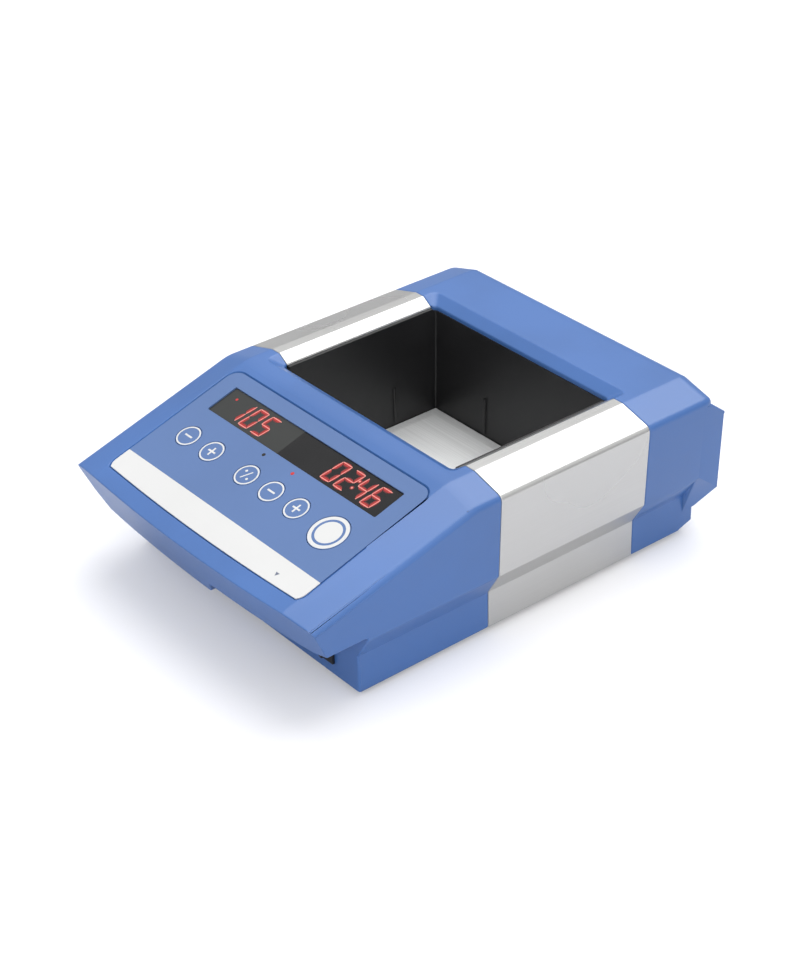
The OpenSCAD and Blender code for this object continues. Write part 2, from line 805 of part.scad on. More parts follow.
// Tapered tube of the well, set out by t from its inner face, between two heights
module liner_form(t, z0, z1) {
  low_in = liner_in + liner_draft;
  function inset(z, top_in) = top_in + (low_in - top_in) * (seat_h - z) / (seat_h - liner_low);
  loft([for (z = [z0, z1])
    well_ring(z, [t - inset(z, liner_ledge), t - inset(z, liner_in)], well_ahead + t - low_in)]);
}

module well_ribs() {
  wall_x = well_w / 2 - liner_in - liner_draft;
  wall_y = (well_rear - well_front) / 2 - liner_in - liner_draft;
  out = 0.7;
  root = 1.4;
  translate([0, well_mid, floor_h]) {
    for (x = [-1, 1], y = [-1, 1]) translate([x * rib_x, y * (wall_y + (root - out) / 2), rib_h / 2])
      cube([rib_t, root + out, rib_h], center = true);
    for (x = [-1, 1], y = [-1, 1]) translate([x * (wall_x + (root - out) / 2), y * rib_y, rib_h / 2])
      cube([root + out, rib_t, rib_h], center = true);
  }
}

// Black moulded well with a flange under the end housings and upstands at the profiles
module well_liner() {
  color(black) placed() {
    difference() {
      union() {
        liner_form(liner_t, liner_low, seat_h - 1);
        difference() {
          translate([0, 0, seat_h - 2]) linear_extrude(2) well_outline(flange_out - liner_in);
          box([-half_w, 0.2, 0], [-well_w / 2 - 1.4, profile_len - 0.2, roof_h]);
          box([well_w / 2 + 1.4, 0.2, 0], [half_w, profile_len - 0.2, roof_h]);
        }
      }
      liner_form(0, liner_low - 1, seat_h + 1);
    }
    well_ribs();
    mirrored() box([well_w / 2 - liner_ledge, 0.3, seat_h - 1],
                   [well_w / 2 + 1.4, profile_len - 0.3, roof_h - rim_drop - 0.7]);
  }
}

// Machined aluminium plate with a sloping border, tapped below and bored for the sensor
module heater_plate() {
  module profile(half) {
    polygon([[-half, plate_under], [half, plate_under], [half, floor_h - plate_drop],
             [half - plate_border, floor_h], [-half + plate_border, floor_h],
             [-half, floor_h - plate_drop]]);
  }
  color(silver) placed() difference() {
    intersection() {
      along(well_mid - plate_half_l, well_mid + plate_half_l) profile(plate_half_w);
      translate([0, well_mid, 0]) across(-plate_half_w, plate_half_w) profile(plate_half_l);
    }
    for (h = spacer_places()) translate([h[0], h[1], plate_under - 1]) cylinder(r = screw_r + 0.05, h = 6);
    sensor_bore(1.65, 41);
  }
}

module sensor_bore(r, depth) {
  translate([14, well_mid + plate_half_l + 1, plate_under + 2.3]) rotate([90, 0, 0])
    cylinder(r = r, h = depth);
}

module temperature_sensor() {
  color(steel) placed() translate([14, well_mid + plate_half_l + 8, plate_under + 2.3])
    rotate([90, 0, 0]) union() {
      cylinder(r = 1.6, h = 46);
      translate([0, 0, -4]) cylinder(r = 1.1, h = 5);
    }
}

module heating_mat() {
  color([0.75, 0.3, 0.2]) placed() difference() {
    translate([0, well_mid, plate_under - mat_t]) linear_extrude(mat_t)
      rounded(2 * plate_half_w - 32, 2 * plate_half_l - 8, 4);
    for (h = spacer_places()) translate([h[0], h[1], 0]) cylinder(r = 6, h = floor_h);
  }
}

module insulation_pad() {
  color(wool) placed() difference() {
    translate([0, well_mid, plate_under - mat_t - pad_t]) linear_extrude(pad_t)
      rounded(2 * plate_half_w - 32, 2 * plate_half_l - 8, 4);
    for (h = spacer_places()) translate([h[0], h[1], 0]) cylinder(r = 6, h = floor_h);
  }
}

module insulation_jacket() {
  inner = liner_t + 0.4;
  color(wool) placed() translate([0, 0, liner_low]) linear_extrude(seat_h - liner_low - 10)
    difference() {
      well_outline(inner + jacket_t - liner_in);
      well_outline(inner - liner_in);
    }
}

module thermal_cutout() {
  color(steel) placed() translate([plate_half_w - 7, well_mid, plate_under]) mirror([0, 0, 1]) {
    cylinder(r = 6, h = 1);
    translate([0, 0, 1 - e]) cylinder(r = 5, h = 5);
    for (y = [-1, 1]) translate([-1, y * 3 - 0.4, 5]) cube([2, 0.8, 4]);
  }
}

module plate_spacers() {
  color(steel) placed() for (h = spacer_places()) translate([h[0], h[1], base_top]) difference() {
    cylinder(r = 3.5, h = plate_under - base_top);
    translate([0, 0, -1]) cylinder(r = pass_r, h = plate_under);
  }
}

// Printed film of the key panel
module keypad_overlay() {
  color(deep_blue) on_panel() difference() {
    translate([0, 0, -recess_d]) linear_extrude(film_t) overlay_plan(0, strip_top, 0);
    all_key_holes();
    light_holes(light_r + 0.2);
    translate([0, 0, -2]) linear_extrude(3) window_plan(0, 0.8);
  }
}

// Bare white strip along the lip
module label_strip() {
  color(white) on_panel() translate([0, 0, -recess_d])
    linear_extrude(film_t) overlay_plan(strip_top, overlay_low + 2, 0);
}

module display_window() {
  color([0.2, 0.2, 0.2]) on_panel() translate([0, 0, -recess_d - window_t])
    linear_extrude(window_t) window_plan(window_margin, 1);
}

// Round key with a retaining flange and a stem that reaches into its switch
module key(x, row, r) {
  color(blue) on_panel() translate([x, -row, 0]) {
    translate([0, 0, -panel_t - key_gap - e]) cylinder(r = r, h = panel_t + key_gap + e - face_gap);
    translate([0, 0, -panel_t - key_gap - 1]) cylinder(r = r + key_flange, h = 1);
    translate([0, 0, -board_depth + tact_h - 1.4])
      cylinder(r = stem_r, h = board_depth - tact_h + 1.4 - panel_t - key_gap - 0.5);
  }
}

module key_temperature_minus() { key(small_keys[0], key_row, key_r); }

module key_temperature_plus() { key(small_keys[1], key_row, key_r); }

module key_mode() { key(small_keys[2], key_row, key_r); }

module key_timer_minus() { key(small_keys[3], key_row, key_r); }

module key_timer_plus() { key(small_keys[4], key_row, key_r); }

module key_start() { key(start_key_x, start_row, start_r); }

module control_board() {
  color(green) on_panel() difference() {
    box([-board_half, -board_rows[1], -board_depth - board_t], [board_half, -board_rows[0], -board_depth]);
    for (b = board_bosses) translate([b[0], -b[1], -20]) cylinder(r = 1.5, h = 20);
  }
}

// Digit module with sunk figures, for n digits around x
module digit_module(x, n) {
  w = n * digit_pitch + 1.4;
  color(black) on_panel() translate([x, -window_row, -board_depth]) difference() {
    box([-w / 2, -window_h / 2 + 0.7, 0], [w / 2, window_h / 2 - 0.7, display_t]);
    for (i = [0 : n - 1], s = [-1, 1])
      translate([(i - (n - 1) / 2) * digit_pitch, s * 3.5, display_t - 0.4]) linear_extrude(1)
        difference() {
          square([8, 7.6], center = true);
          square([5.8, 5.4], center = true);
        }
  }
}

module temperature_display() { digit_module(temp_digit_x, 3); }

module time_display() { digit_module(time_digit_x, 4); }

module key_switches() {
  module tact(x, row) {
    translate([x, -row, -board_depth]) difference() {
      box([-tact_w / 2, -tact_w / 2, 0], [tact_w / 2, tact_w / 2, tact_h]);
      translate([0, 0, tact_h - tact_bore]) cylinder(r = stem_r + 0.3, h = tact_bore + 1);
    }
  }
  color(black) on_panel() {
    for (x = small_keys) tact(x, key_row);
    tact(start_key_x, start_row);
  }
}

module indicator_lights() {
  module light(x, row, top) {
    translate([x, -row, -board_depth]) {
      cylinder(r = 1.9, h = 1);
      cylinder(r = 1.5, h = board_depth - panel_t - 1);
      cylinder(r = light_r, h = board_depth - top);
    }
  }
  color([0.8, 0.15, 0.1]) on_panel() {
    for (x = lights) light(x, light_row, 0.4);
    light(temp_digit_x - 2 * digit_pitch + 0.6, window_top + 5.6, panel_t + 0.6);
  }
}

// Rectangular appliance switch with hinge bores for its rocker
module power_switch_body() {
  w = switch_w / 2;
  h = switch_h / 2;
  inner_w = w - bezel_rim;
  inner_h = h - bezel_rim;
  color(black) placed() translate([switch_x, switch_face, switch_z]) difference() {
    union() {
      box([-w, -bezel_t, -h], [w, 0, h]);
      box([-w + 1, -e, -h + 1], [w - 1, switch_d - 6, h - 1]);
      for (x = [-8, 0, 8]) box([x - 0.4, switch_d - 7, -3], [x + 0.4, switch_d, 3]);
    }
    box([-inner_w, -bezel_t - 1, -inner_h], [inner_w, 8, inner_h]);
    translate([0, hinge_back, -h + 1.2]) cylinder(r = pin_r + 0.06, h = switch_h - 2.4);
  }
}

// Rocker drawn level, then tilted to its on side about the hinge
module power_rocker() {
  color([0.16, 0.16, 0.17]) placed() translate([switch_x, switch_face + hinge_back, switch_z])
    rotate([0, 0, -rocker_tilt]) {
      translate([0, 0, -rocker_high]) linear_extrude(2 * rocker_high)
        polygon([[-rocker_half, -5], [0, -3.9], [rocker_half, -5], [rocker_half, -1],
                 [4, 3.4], [-4, 3.4], [-rocker_half, -1]]);
      translate([0, 0, -rocker_high - 1.2]) cylinder(r = pin_r, h = 2 * rocker_high + 2.4);
    }
}

// Appliance inlet with three blades and a runner for the fuse drawer
module mains_inlet() {
  w = inlet_w / 2;
  h = inlet_h / 2;
  color(black) placed() translate([inlet_x, panel_y, 0]) {
    difference() {
      union() {
        box([-w - inlet_flange, 0, inlet_z - h - inlet_flange],
            [w + inlet_flange, inlet_flange_t, inlet_z + h + inlet_flange]);
        box([-w, -inlet_depth, inlet_z - h], [w, e, inlet_z + h]);
      }
      translate([0, inlet_flange_t - mouth_deep, mouth_z]) rotate([90, 0, 0]) mirror([0, 0, 1])
        linear_extrude(mouth_deep + 1) polygon([[-mouth_w / 2, -mouth_h / 2], [mouth_w / 2, -mouth_h / 2],
          [mouth_w / 2, mouth_h / 2 - 5], [mouth_w / 2 - 5, mouth_h / 2],
          [-mouth_w / 2 + 5, mouth_h / 2], [-mouth_w / 2, mouth_h / 2 - 5]]);
      box([-drawer_w / 2 - drawer_gap, inlet_flange_t - drawer_deep - drawer_gap,
           drawer_z - drawer_h / 2 - drawer_gap],
          [drawer_w / 2 + drawer_gap, inlet_flange_t + 1, drawer_z + drawer_h / 2 + drawer_gap]);
    }
    for (b = [-8, 0, 8])
      box([b - 3.1, -inlet_depth - 7, mouth_z - 0.4], [b + 3.1, -inlet_depth + 1, mouth_z + 0.4]);
    for (b = [[-7, 0], [7, 0], [0, 4]])
      box([b[0] - 1, inlet_flange_t - mouth_deep - e, mouth_z + b[1] - 2],
          [b[0] + 1, inlet_flange_t - 5.5, mouth_z + b[1] + 2]);
  }
}

// Drawer with a cradle for two fuses and a finger notch in its face
module fuse_drawer() {
  color(black) placed() translate([inlet_x, panel_y + inlet_flange_t, drawer_z]) difference() {
    box([-drawer_w / 2, -drawer_deep, -drawer_h / 2], [drawer_w / 2, 0, drawer_h / 2]);
    box([-10.3, -drawer_deep + 2, -drawer_h / 2 + 1.2], [10.3, -3.4, drawer_h / 2 + 1]);
    translate([0, 0, drawer_h / 2]) rotate([90, 0, 0]) translate([0, 0, -1]) cylinder(r = 3, h = 2.6);
  }
}

module fuses() {
  color([0.85, 0.85, 0.8]) placed()
    translate([inlet_x, panel_y + inlet_flange_t, drawer_z - drawer_h / 2 + 1.2 + 2.5])
      for (y = [-drawer_deep + 5, -6.4]) translate([0, y, 0]) rotate([0, 90, 0]) {
        translate([0, 0, -10]) cylinder(r = 2.5, h = 5);
        translate([0, 0, -6]) cylinder(r = 2.2, h = 12);
        translate([0, 0, 5]) cylinder(r = 2.5, h = 5);
      }
}

// Round socket for a plug-in sensor, with its contacts deep in the bore
module sensor_socket() {
  color(black) placed() translate([socket_x, panel_y, inlet_z]) rotate([90, 0, 0]) difference() {
    union() {
      translate([0, 0, -2]) cylinder(r = socket_out, h = 2);
      translate([0, 0, -e]) cylinder(r = socket_r + 2, h = 14);
    }
    translate([0, 0, -3]) cylinder(r = socket_r, h = 13);
    for (a = [0 : 90 : 270]) rotate([0, 0, a]) translate([2.6, 0, 9]) cylinder(r = 0.6, h = 3);
  }
}

module power_board() {
  color(green) placed() difference() {
    box([-power_half, power_y, power_z], [power_half, power_y + power_d, power_z + board_t]);
    for (h = standoff_places()) translate([h[0], h[1], power_z - 1]) cylinder(r = pass_r, h = 5);
  }
}

module board_standoffs() {
  color(white) placed() for (h = standoff_places()) translate([h[0], h[1], base_top]) difference() {
    cylinder(r = 3, h = power_z - base_top);
    translate([0, 0, -1]) cylinder(r = tap_r, h = 12);
  }
}

// Small mains transformer: laminated core, two-chamber bobbin
module transformer() {
  color(black) placed() translate([-27, power_y + power_d / 2, power_z + board_t]) {
    difference() {
      box([-16, -8, 0], [16, 8, 27]);
      for (x = [-1, 1]) box([x * 8 - 3, -9, 5.5], [x * 8 + 3, 9, 21.5]);
    }
    for (y = [-1, 1]) translate([0, y * 9.9, 13.5]) cube([20, 3.8, 15], center = true);
  }
}

module relay() {
  color([0.15, 0.3, 0.6]) placed() translate([-55, power_y + 2, power_z + board_t])
    cube([10, 17, 14]);
}

module filter_capacitors() {
  color([0.75, 0.7, 0.2]) placed() translate([0, power_y + power_d / 2, power_z + board_t]) {
    translate([-2, -9, 0]) cube([7, 18, 13]);
    translate([14, 0, 0]) cylinder(r = 6, h = 1);
    translate([14, 0, 1 - e]) cylinder(r = 6.3, h = 18);
  }
}

// Finned extrusion that cools the triac
module heat_sink() {
  color([0.3, 0.3, 0.32]) placed() translate([30, power_y + 3, power_z + board_t]) linear_extrude(20)
    union() {
      square([24, 3]);
      for (i = [0 : 5]) translate([i * 4.5, 0]) square([1.5, 14]);
    }
}

module triac() {
  color(black) placed() translate([42, power_y + 3, power_z + board_t]) {
    translate([-5, -1.3 - e, 4]) cube([10, 1.3, 15]);
    translate([-5, -3, 4]) cube([10, 1.8, 9]);
    for (x = [-2.5, 0, 2.5]) translate([x - 0.4, -1.6, 0]) cube([0.8, 0.6, 4.2]);
  }
}

module terminal_block() {
  color([0.2, 0.5, 0.3]) placed() translate([48, power_y + 18.3, power_z + board_t])
    difference() {
      cube([16.5, 7, 10]);
      for (i = [0 : 2]) translate([3.25 + i * 5, 3.5, 6]) {
        cylinder(r = 1.6, h = 5);
        rotate([-90, 0, 0]) translate([0, 2.5, 0]) cylinder(r = 1.3, h = 4);
      }
    }
}

module earth_stud() {
  color([0.8, 0.7, 0.3]) placed() translate([80, power_y - 14, base_top]) {
    cylinder(r = 2, h = 12);
    cylinder(r = 4, h = 3, $fn = 6);
  }
}

// Flat cable from the control board along the left side to the power board
module ribbon_cable() {
  run_x = -79.5;
  color([0.7, 0.7, 0.72]) placed() {
    translate([0, 0, 20]) linear_extrude(12)
      polygon([[-72.5, -45], [-72.5, -33], [run_x + 1, -20], [run_x + 1, 126], [-64, 132],
               [-57, 132], [-57, 133], [-64.5, 133], [run_x, 127], [run_x, -21], [-73.5, -34],
               [-73.5, -45]]);
    box([-73.5, -45, 31], [-72.5, -33, 61]);
    box([-64, 132, 16], [-57, 133, 31]);
    box([-65, 129.5, power_z + board_t], [-56, 135.5, 17]);
  }
}

// Pan-head screw, head down, tip up
module screw(len) {
  translate([0, 0, -head_h]) cylinder(r = head_r, h = head_h);
  translate([0, 0, -e]) cylinder(r = screw_r, h = len);
}

module profile_screws() {
  color(steel) placed() for (p = ports) mirrored() {
    translate([p[0], -wall, p[1]]) rotate([-90, 0, 0]) screw(screw_len);
    translate([p[0], rear_seam + wall, p[1]]) rotate([90, 0, 0]) screw(screw_len);
  }
}

module base_screws() {
  color(steel) placed() for (h = base_holes()) translate([h[0], h[1], base_up]) screw(base_t + 7);
}

module board_screws() {
  color(steel) {
    on_panel() for (b = board_bosses)
      translate([b[0], -b[1], -board_depth - board_t]) {
        translate([0, 0, -1.6]) cylinder(r = 2.4, h = 1.6);
        translate([0, 0, -e]) cylinder(r = 1.2, h = 7);
      }
    placed() for (h = standoff_places()) {
      translate([h[0], h[1], base_up]) screw(5);
      translate([h[0], h[1], power_z + board_t]) rotate([180, 0, 0]) screw(4);
    }
  }
}

module plate_screws() {
  color(steel) placed() for (h = spacer_places())
    translate([h[0], h[1], base_up]) screw(plate_under - base_up + 4);
}

front_housing();
rear_housing();
side_profile_left();
side_profile_right();
base_plate();
rubber_feet();
well_liner();
heater_plate();
heating_mat();
insulation_pad();
insulation_jacket();
temperature_sensor();
thermal_cutout();
plate_spacers();
keypad_overlay();
label_strip();
display_window();
key_temperature_minus();
key_temperature_plus();
key_mode();
key_timer_minus();
key_timer_plus();
key_start();
control_board();
temperature_display();
time_display();
key_switches();
indicator_lights();
power_switch_body();
power_rocker();
mains_inlet();
fuse_drawer();
fuses();
sensor_socket();
power_board();
board_standoffs();
transformer();
relay();
filter_capacitors();
heat_sink();
triac();
terminal_block();
earth_stud();
ribbon_cable();
profile_screws();
base_screws();
board_screws();
plate_screws();
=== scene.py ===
# Dry bath incubator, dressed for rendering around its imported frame.
# Metres, +Z up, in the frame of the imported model. The key panel faces -Y.

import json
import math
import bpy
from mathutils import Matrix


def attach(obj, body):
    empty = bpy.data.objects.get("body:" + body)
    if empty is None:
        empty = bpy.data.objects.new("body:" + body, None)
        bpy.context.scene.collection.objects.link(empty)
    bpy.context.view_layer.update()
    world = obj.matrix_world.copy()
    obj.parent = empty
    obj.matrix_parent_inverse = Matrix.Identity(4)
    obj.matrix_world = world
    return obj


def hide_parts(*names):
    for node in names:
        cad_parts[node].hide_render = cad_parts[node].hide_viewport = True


bl_info = {
    "name": "Dry Bath Incubator",
    "version": (1, 0, 0),
    "blender": (4, 5, 0),
    "location": "View3D > Sidebar > Incubator",
    "description": "Builds the visible skin of a one-block dry bath incubator",
    "category": "Add Mesh",
}

import bpy
from bpy.props import FloatProperty, FloatVectorProperty, PointerProperty, StringProperty
from mathutils import Matrix, Vector
from mathutils.bvhtree import BVHTree

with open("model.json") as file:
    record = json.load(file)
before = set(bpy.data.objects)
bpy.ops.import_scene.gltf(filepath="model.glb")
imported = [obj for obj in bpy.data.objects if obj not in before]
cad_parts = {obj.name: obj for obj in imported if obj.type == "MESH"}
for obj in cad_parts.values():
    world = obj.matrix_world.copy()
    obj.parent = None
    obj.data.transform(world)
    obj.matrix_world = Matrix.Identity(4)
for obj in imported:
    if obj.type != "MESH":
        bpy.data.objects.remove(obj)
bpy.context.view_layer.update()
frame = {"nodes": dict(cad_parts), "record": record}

MM = 0.001

# Places that the skin shares with the solids, in millimetres
SEAM_Y = -17.25
FOOT_H = 3.0
ROOF_H = 87.2
BEND_AHEAD = 16.4
PANEL_SLOPE = 17.0
SEAT_Z = 80.5 + FOOT_H
REAR_CORNER_X = 81.5
REAR_CORNER_Y = 122.0

# Places on the panel, in millimetres: X across, rows down from the bend, heights above the slope
FILM_TOP = -0.2
WINDOW_FACE = -1.0
# Bounds of the groove round the panel film, whose faces get a darker blue as painted shade in the
# recess
GROOVE_HALF_X = 81.5
GROOVE_ROWS = (7.5, 98.5)
GROOVE_HEIGHTS = (-1.1, -0.2)
KEY_ROW = 56.1
KEY_PITCH = 20.5
TEMP_KEYS_X = -60.7
TIME_KEYS_X = -10.2
START_X = 57.7
START_ROW = 57.2
WINDOW_ROW = 27.35
TEMP_DIGIT_X = -41.5
TIME_DIGIT_X = 42.6
WINDOW_LAMP_X = -61.6
WINDOW_LAMP_ROW = 23.2
LIGHT_ROW = 41.6
LIGHT_X = -14.4
LIGHT_PITCH = 23.9
POINTER_X = 57.9
POINTER_ROW = 90.0

# Sizes of the prints, figures and lamps, in millimetres, and their turns in degrees
PRINT_THICK = 0.03
KEY_RING_R = 6.7
SIGN_LENGTH = 5.6
SIGN_WIDTH = 1.05
SLASH_LENGTH = 7.0
SLASH_WIDTH = 0.7
SLASH_TURN = -28
SLASH_DOT_R = 0.75
SLASH_DOT_X = 2.4
SLASH_DOT_Y = 1.9
START_RING_R = 10.6
START_RING_HOLE_R = 8.6
START_FIELD_R = 7.1
POINTER_R = 1.5
WINDOW_LAMP_R = 0.8
LIGHT_R = 1.05
LIGHT_THICK = 0.02
LIGHT_LIFT = 0.01
FIGURE_WIDTH = 7.6
FIGURE_PITCH = 10.4
FIGURE_LEAN = 10
COLON_R = 0.6
COLON_Y = 2.6
# Layers of a lit segment: stroke, spread round the figure, thickness and finish; the two wider
# layers paint a halo of red light round the lit segment
FIGURE_LAYERS = (
    (3.0, 1.4, 0.02, "painted_halo"),
    (1.9, 0.6, 0.035, "painted_glow"),
    (0.55, 0.0, 0.05, "core"),
)

# How a skin is made: distances in millimetres, angles in degrees
WELD = 0.02
FLAT_ANGLE = 0.2
SMOOTH_ANGLE = 33
OPEN_STEP = 0.2
SPIKE_NEAR = 2.5
SHORT_EDGE = 6.0
# A corner is a spike when it lies this share of the radius off the sharp surface
SPIKE_REACH = 0.8
# Roundings tried, the first ones dropping only the short edges beside a spike
TRIES = 6
SHORT_TRIES = 4

# Camera: angles in degrees, distances from its aim in millimetres
CAMERA_AZIMUTH = 51.591
CAMERA_RISE = 31.832
CAMERA_ROLL = -1.506
CAMERA_BACK = 1172.384
CAMERA_RIGHT = 14.806
CAMERA_UP = 2.734
AIM = Vector((0, SEAM_Y, 40 + FOOT_H))

# Room light by the height of its direction, from level to overhead
ROOM_LEVELS = ((0.0, 0.22), (0.25, 0.5), (0.45, 0.85), (0.68, 0.85), (1.0, 0.8))
# Directions of the two soft lights, and how far off each one starts and is full, as cosines
SOFTBOX = ((-0.12, 0.38, 0.917), 0.86, 0.91)
FILL = ((0.75, -0.6, 0.28), 0.25, 1.0)
FLOOR_SIZE = 8.0
FLOOR_COLOUR = (0.72, 0.72, 0.74, 1)
FLOOR_LIFT = 0.22

PANEL = (
    Matrix.Translation((0, (SEAM_Y - BEND_AHEAD) * MM, (FOOT_H + ROOF_H) * MM))
    @ Matrix.Rotation(math.radians(PANEL_SLOPE), 4, "X")
)


def on_panel(x, row, height):
    """Place on the sloping panel, in millimetres."""
    return PANEL @ Matrix.Translation((x * MM, -row * MM, height * MM))


def deselect():
    """Leaves edit mode and deselects everything."""
    if bpy.context.object and bpy.context.object.mode != "OBJECT":
        bpy.ops.object.mode_set(mode="OBJECT")
    bpy.ops.object.select_all(action="DESELECT")


def take(piece):
    """Makes piece the only selected and the active object."""
    deselect()
    piece.select_set(True)
    bpy.context.view_layer.objects.active = piece


def settle(piece, matrix=None):
    """Puts a finished piece's place into its mesh and its object at the origin."""
    place = piece.matrix_world.copy()
    if matrix is not None:
        place = matrix @ place
    piece.data.transform(place)
    piece.matrix_world = Matrix.Identity(4)
    return piece


def apply_all(piece):
    """Applies a piece's modifiers, first to last."""
    take(piece)
    for modifier in list(piece.modifiers):
        bpy.ops.object.modifier_apply(modifier=modifier.name)


def join(pieces):
    """Joins pieces into the first of them, which stays the active one."""
    deselect()
    for piece in pieces:
        piece.select_set(True)
    bpy.context.view_layer.objects.active = pieces[0]
    bpy.ops.object.join()


def paint(piece, *materials):
    """Gives a piece its materials, in the order of its material indices."""
    piece.data.materials.clear()
    for material in materials:
        piece.data.materials.append(material)


def body_of_node(node):
    for body, nodes in frame["record"]["behaviour"]["bodies"].items():
        if node in nodes:
            return body
    raise RuntimeError("no body carries " + node)


def outer_edges(mesh, least_angle, least_length):
    """Edges between faces at an angle whose outward side is open to the outside.

    The lower edges of the well's mouth sit on the liner and stay sharp, and so do the
    short edges at the roof's rear corners, where two roundings would cross."""
    corners = [v.co.copy() for v in mesh.vertices]
    faces = [tuple(p.vertices) for p in mesh.polygons]
    tree = BVHTree.FromPolygons(corners, faces, epsilon=0.0)
    beside = {}
    for polygon in mesh.polygons:
        for key in polygon.edge_keys:
            beside.setdefault(key, []).append(polygon.index)
    chosen = []
    for edge in mesh.edges:
        key = tuple(sorted(edge.vertices))
        pair = beside.get(key, [])
        if len(pair) != 2:
            continue
        a, b = (mesh.polygons[i].normal for i in pair)
        if a.length < 0.5 or b.length < 0.5 or a.angle(b) < least_angle:
            continue
        ends = [mesh.vertices[i].co for i in edge.vertices]
        if (ends[0] - ends[1]).length < least_length:
            continue
        out = a + b
        if out.length < 1e-6:
            continue
        out.normalize()
        middle = (ends[0] + ends[1]) / 2
        above_seat = middle.z > SEAT_Z * MM
        at_corner = middle.y > REAR_CORNER_Y * MM and abs(middle.x) > REAR_CORNER_X * MM
        if above_seat and (out.z < -0.3 or at_corner):
            continue
        if tree.ray_cast(middle + out * OPEN_STEP * MM, out)[0] is None:
            chosen.append(edge.index)
    return chosen


def bevel_edges(piece, edges, radius, segments):
    """Rounds the given edges of a piece's mesh."""
    mesh = piece.data
    weights = mesh.attributes.get("bevel_weight_edge")
    if weights is None:
        weights = mesh.attributes.new("bevel_weight_edge", "FLOAT", "EDGE")
    for index in edges:
        weights.data[index].value = 1.0
    bevel = piece.modifiers.new("soft_edges", "BEVEL")
    bevel.width = radius * MM
    bevel.segments = segments
    bevel.limit_method = "WEIGHT"
    bevel.use_clamp_overlap = False
    bevel.loop_slide = True
    apply_all(piece)


def spike_roots(mesh, tree, reach):
    """Sound neighbours of the corners that a bevel threw off the surface it started from."""
    stray = {v.index for v in mesh.vertices if tree.find_nearest(v.co)[3] > reach}
    roots = []
    for edge in mesh.edges:
        a, b = edge.vertices
        if (a in stray) != (b in stray):
            roots.append(mesh.vertices[b if a in stray else a].co.copy())
    if stray and not roots:
        raise RuntimeError("the rounding of " + mesh.name + " failed")
    return roots


def soften(piece, edges, radius, segments):
    """Rounds the given edges, and leaves sharp the ones whose rounding throws out spikes."""
    sharp = piece.data.copy()
    ends = [[sharp.vertices[i].co.copy() for i in e.vertices] for e in sharp.edges]
    tree = BVHTree.FromPolygons([v.co for v in sharp.vertices],
                                [tuple(p.vertices) for p in sharp.polygons], epsilon=0.0)
    for attempt in range(TRIES):
        bevel_edges(piece, edges, radius, segments)
        roots = spike_roots(piece.data, tree, SPIKE_REACH * radius * MM)
        if not roots:
            break
        near = [i for i in edges
                if any((root - end).length < SPIKE_NEAR * MM for root in roots for end in ends[i])]
        short = [i for i in near if (ends[i][0] - ends[i][1]).length < SHORT_EDGE * MM]
        dropped = set(short if short and attempt < SHORT_TRIES else near)
        edges = [i for i in edges if i not in dropped]
        piece.data = sharp.copy()
    else:
        raise RuntimeError("the rounding of " + piece.name + " keeps its spikes")
    piece.data.name = piece.name


def skin(node, radius, least_angle=14.0, least_length=0.6, segments=3, dissolve=True):
    """A copy of a CAD node with merged faces and softly rounded outer edges."""
    mesh = frame["nodes"][node].data.copy()
    piece = bpy.data.objects.new(node + "_skin", mesh)
    mesh.name = piece.name
    bpy.context.scene.collection.objects.link(piece)
    take(piece)
    bpy.ops.object.mode_set(mode="EDIT")
    bpy.ops.mesh.select_all(action="SELECT")
    bpy.ops.mesh.remove_doubles(threshold=WELD * MM)
    if dissolve:
        bpy.ops.mesh.dissolve_limited(angle_limit=math.radians(FLAT_ANGLE))
    bpy.ops.object.mode_set(mode="OBJECT")
    if radius > 0:
        edges = outer_edges(mesh, math.radians(least_angle), least_length * MM)
        soften(piece, edges, radius, segments)
    take(piece)
    bpy.ops.object.shade_smooth_by_angle(angle=math.radians(SMOOTH_ANGLE))
    weigh = piece.modifiers.new("flat_faces", "WEIGHTED_NORMAL")
    weigh.keep_sharp = True
    weigh.weight = 80
    apply_all(piece)
    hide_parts(node)
    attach(piece, body_of_node(node))
    return piece


def new_shader(name):
    """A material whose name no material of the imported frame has, or the one made earlier."""
    name = "finish_" + name
    material = bpy.data.materials.get(name)
    if material:
        return material, None, None, None
    material = bpy.data.materials.new(name)
    material.use_nodes = True
    nodes = material.node_tree.nodes
    links = material.node_tree.links
    return material, nodes, links, nodes["Principled BSDF"]


def object_place(nodes):
    """Coordinates of the piece itself, in metres."""
    return nodes.new("ShaderNodeTexCoord").outputs["Object"]


def noise(nodes, links, coordinates, scale, detail, roughness=0.5):
    """Noise from 0 to 1."""
    texture = nodes.new("ShaderNodeTexNoise")
    texture.inputs["Scale"].default_value = scale
    texture.inputs["Detail"].default_value = detail
    texture.inputs["Roughness"].default_value = roughness
    links.new(coordinates, texture.inputs["Vector"])
    return texture.outputs["Fac"]


def ramp(nodes, links, value, low, high, low_at=0.35, high_at=0.65):
    """A value that runs smoothly from low to high while the given one passes between two levels."""
    scale = nodes.new("ShaderNodeMapRange")
    scale.interpolation_type = "SMOOTHSTEP"
    scale.inputs["From Min"].default_value = low_at
    scale.inputs["From Max"].default_value = high_at
    scale.inputs["To Min"].default_value = low
    scale.inputs["To Max"].default_value = high
    links.new(value, scale.inputs["Value"])
    return scale.outputs["Result"]


def blend_colours(nodes, links, factor, a, b):
    """Colour a where the factor is 0, colour b where it is 1."""
    mix = nodes.new("ShaderNodeMix")
    mix.data_type = "RGBA"
    mix.inputs["A"].default_value = (*a, 1)
    mix.inputs["B"].default_value = (*b, 1)
    links.new(factor, mix.inputs["Factor"])
    return mix.outputs["Result"]


def bump(nodes, links, height, depth, shader):
    """Relief of the given depth in metres on a shader."""
    node = nodes.new("ShaderNodeBump")
    node.inputs["Distance"].default_value = depth
    node.inputs["Strength"].default_value = 1.0
    links.new(height, node.inputs["Height"])
    links.new(node.outputs["Normal"], shader.inputs["Normal"])


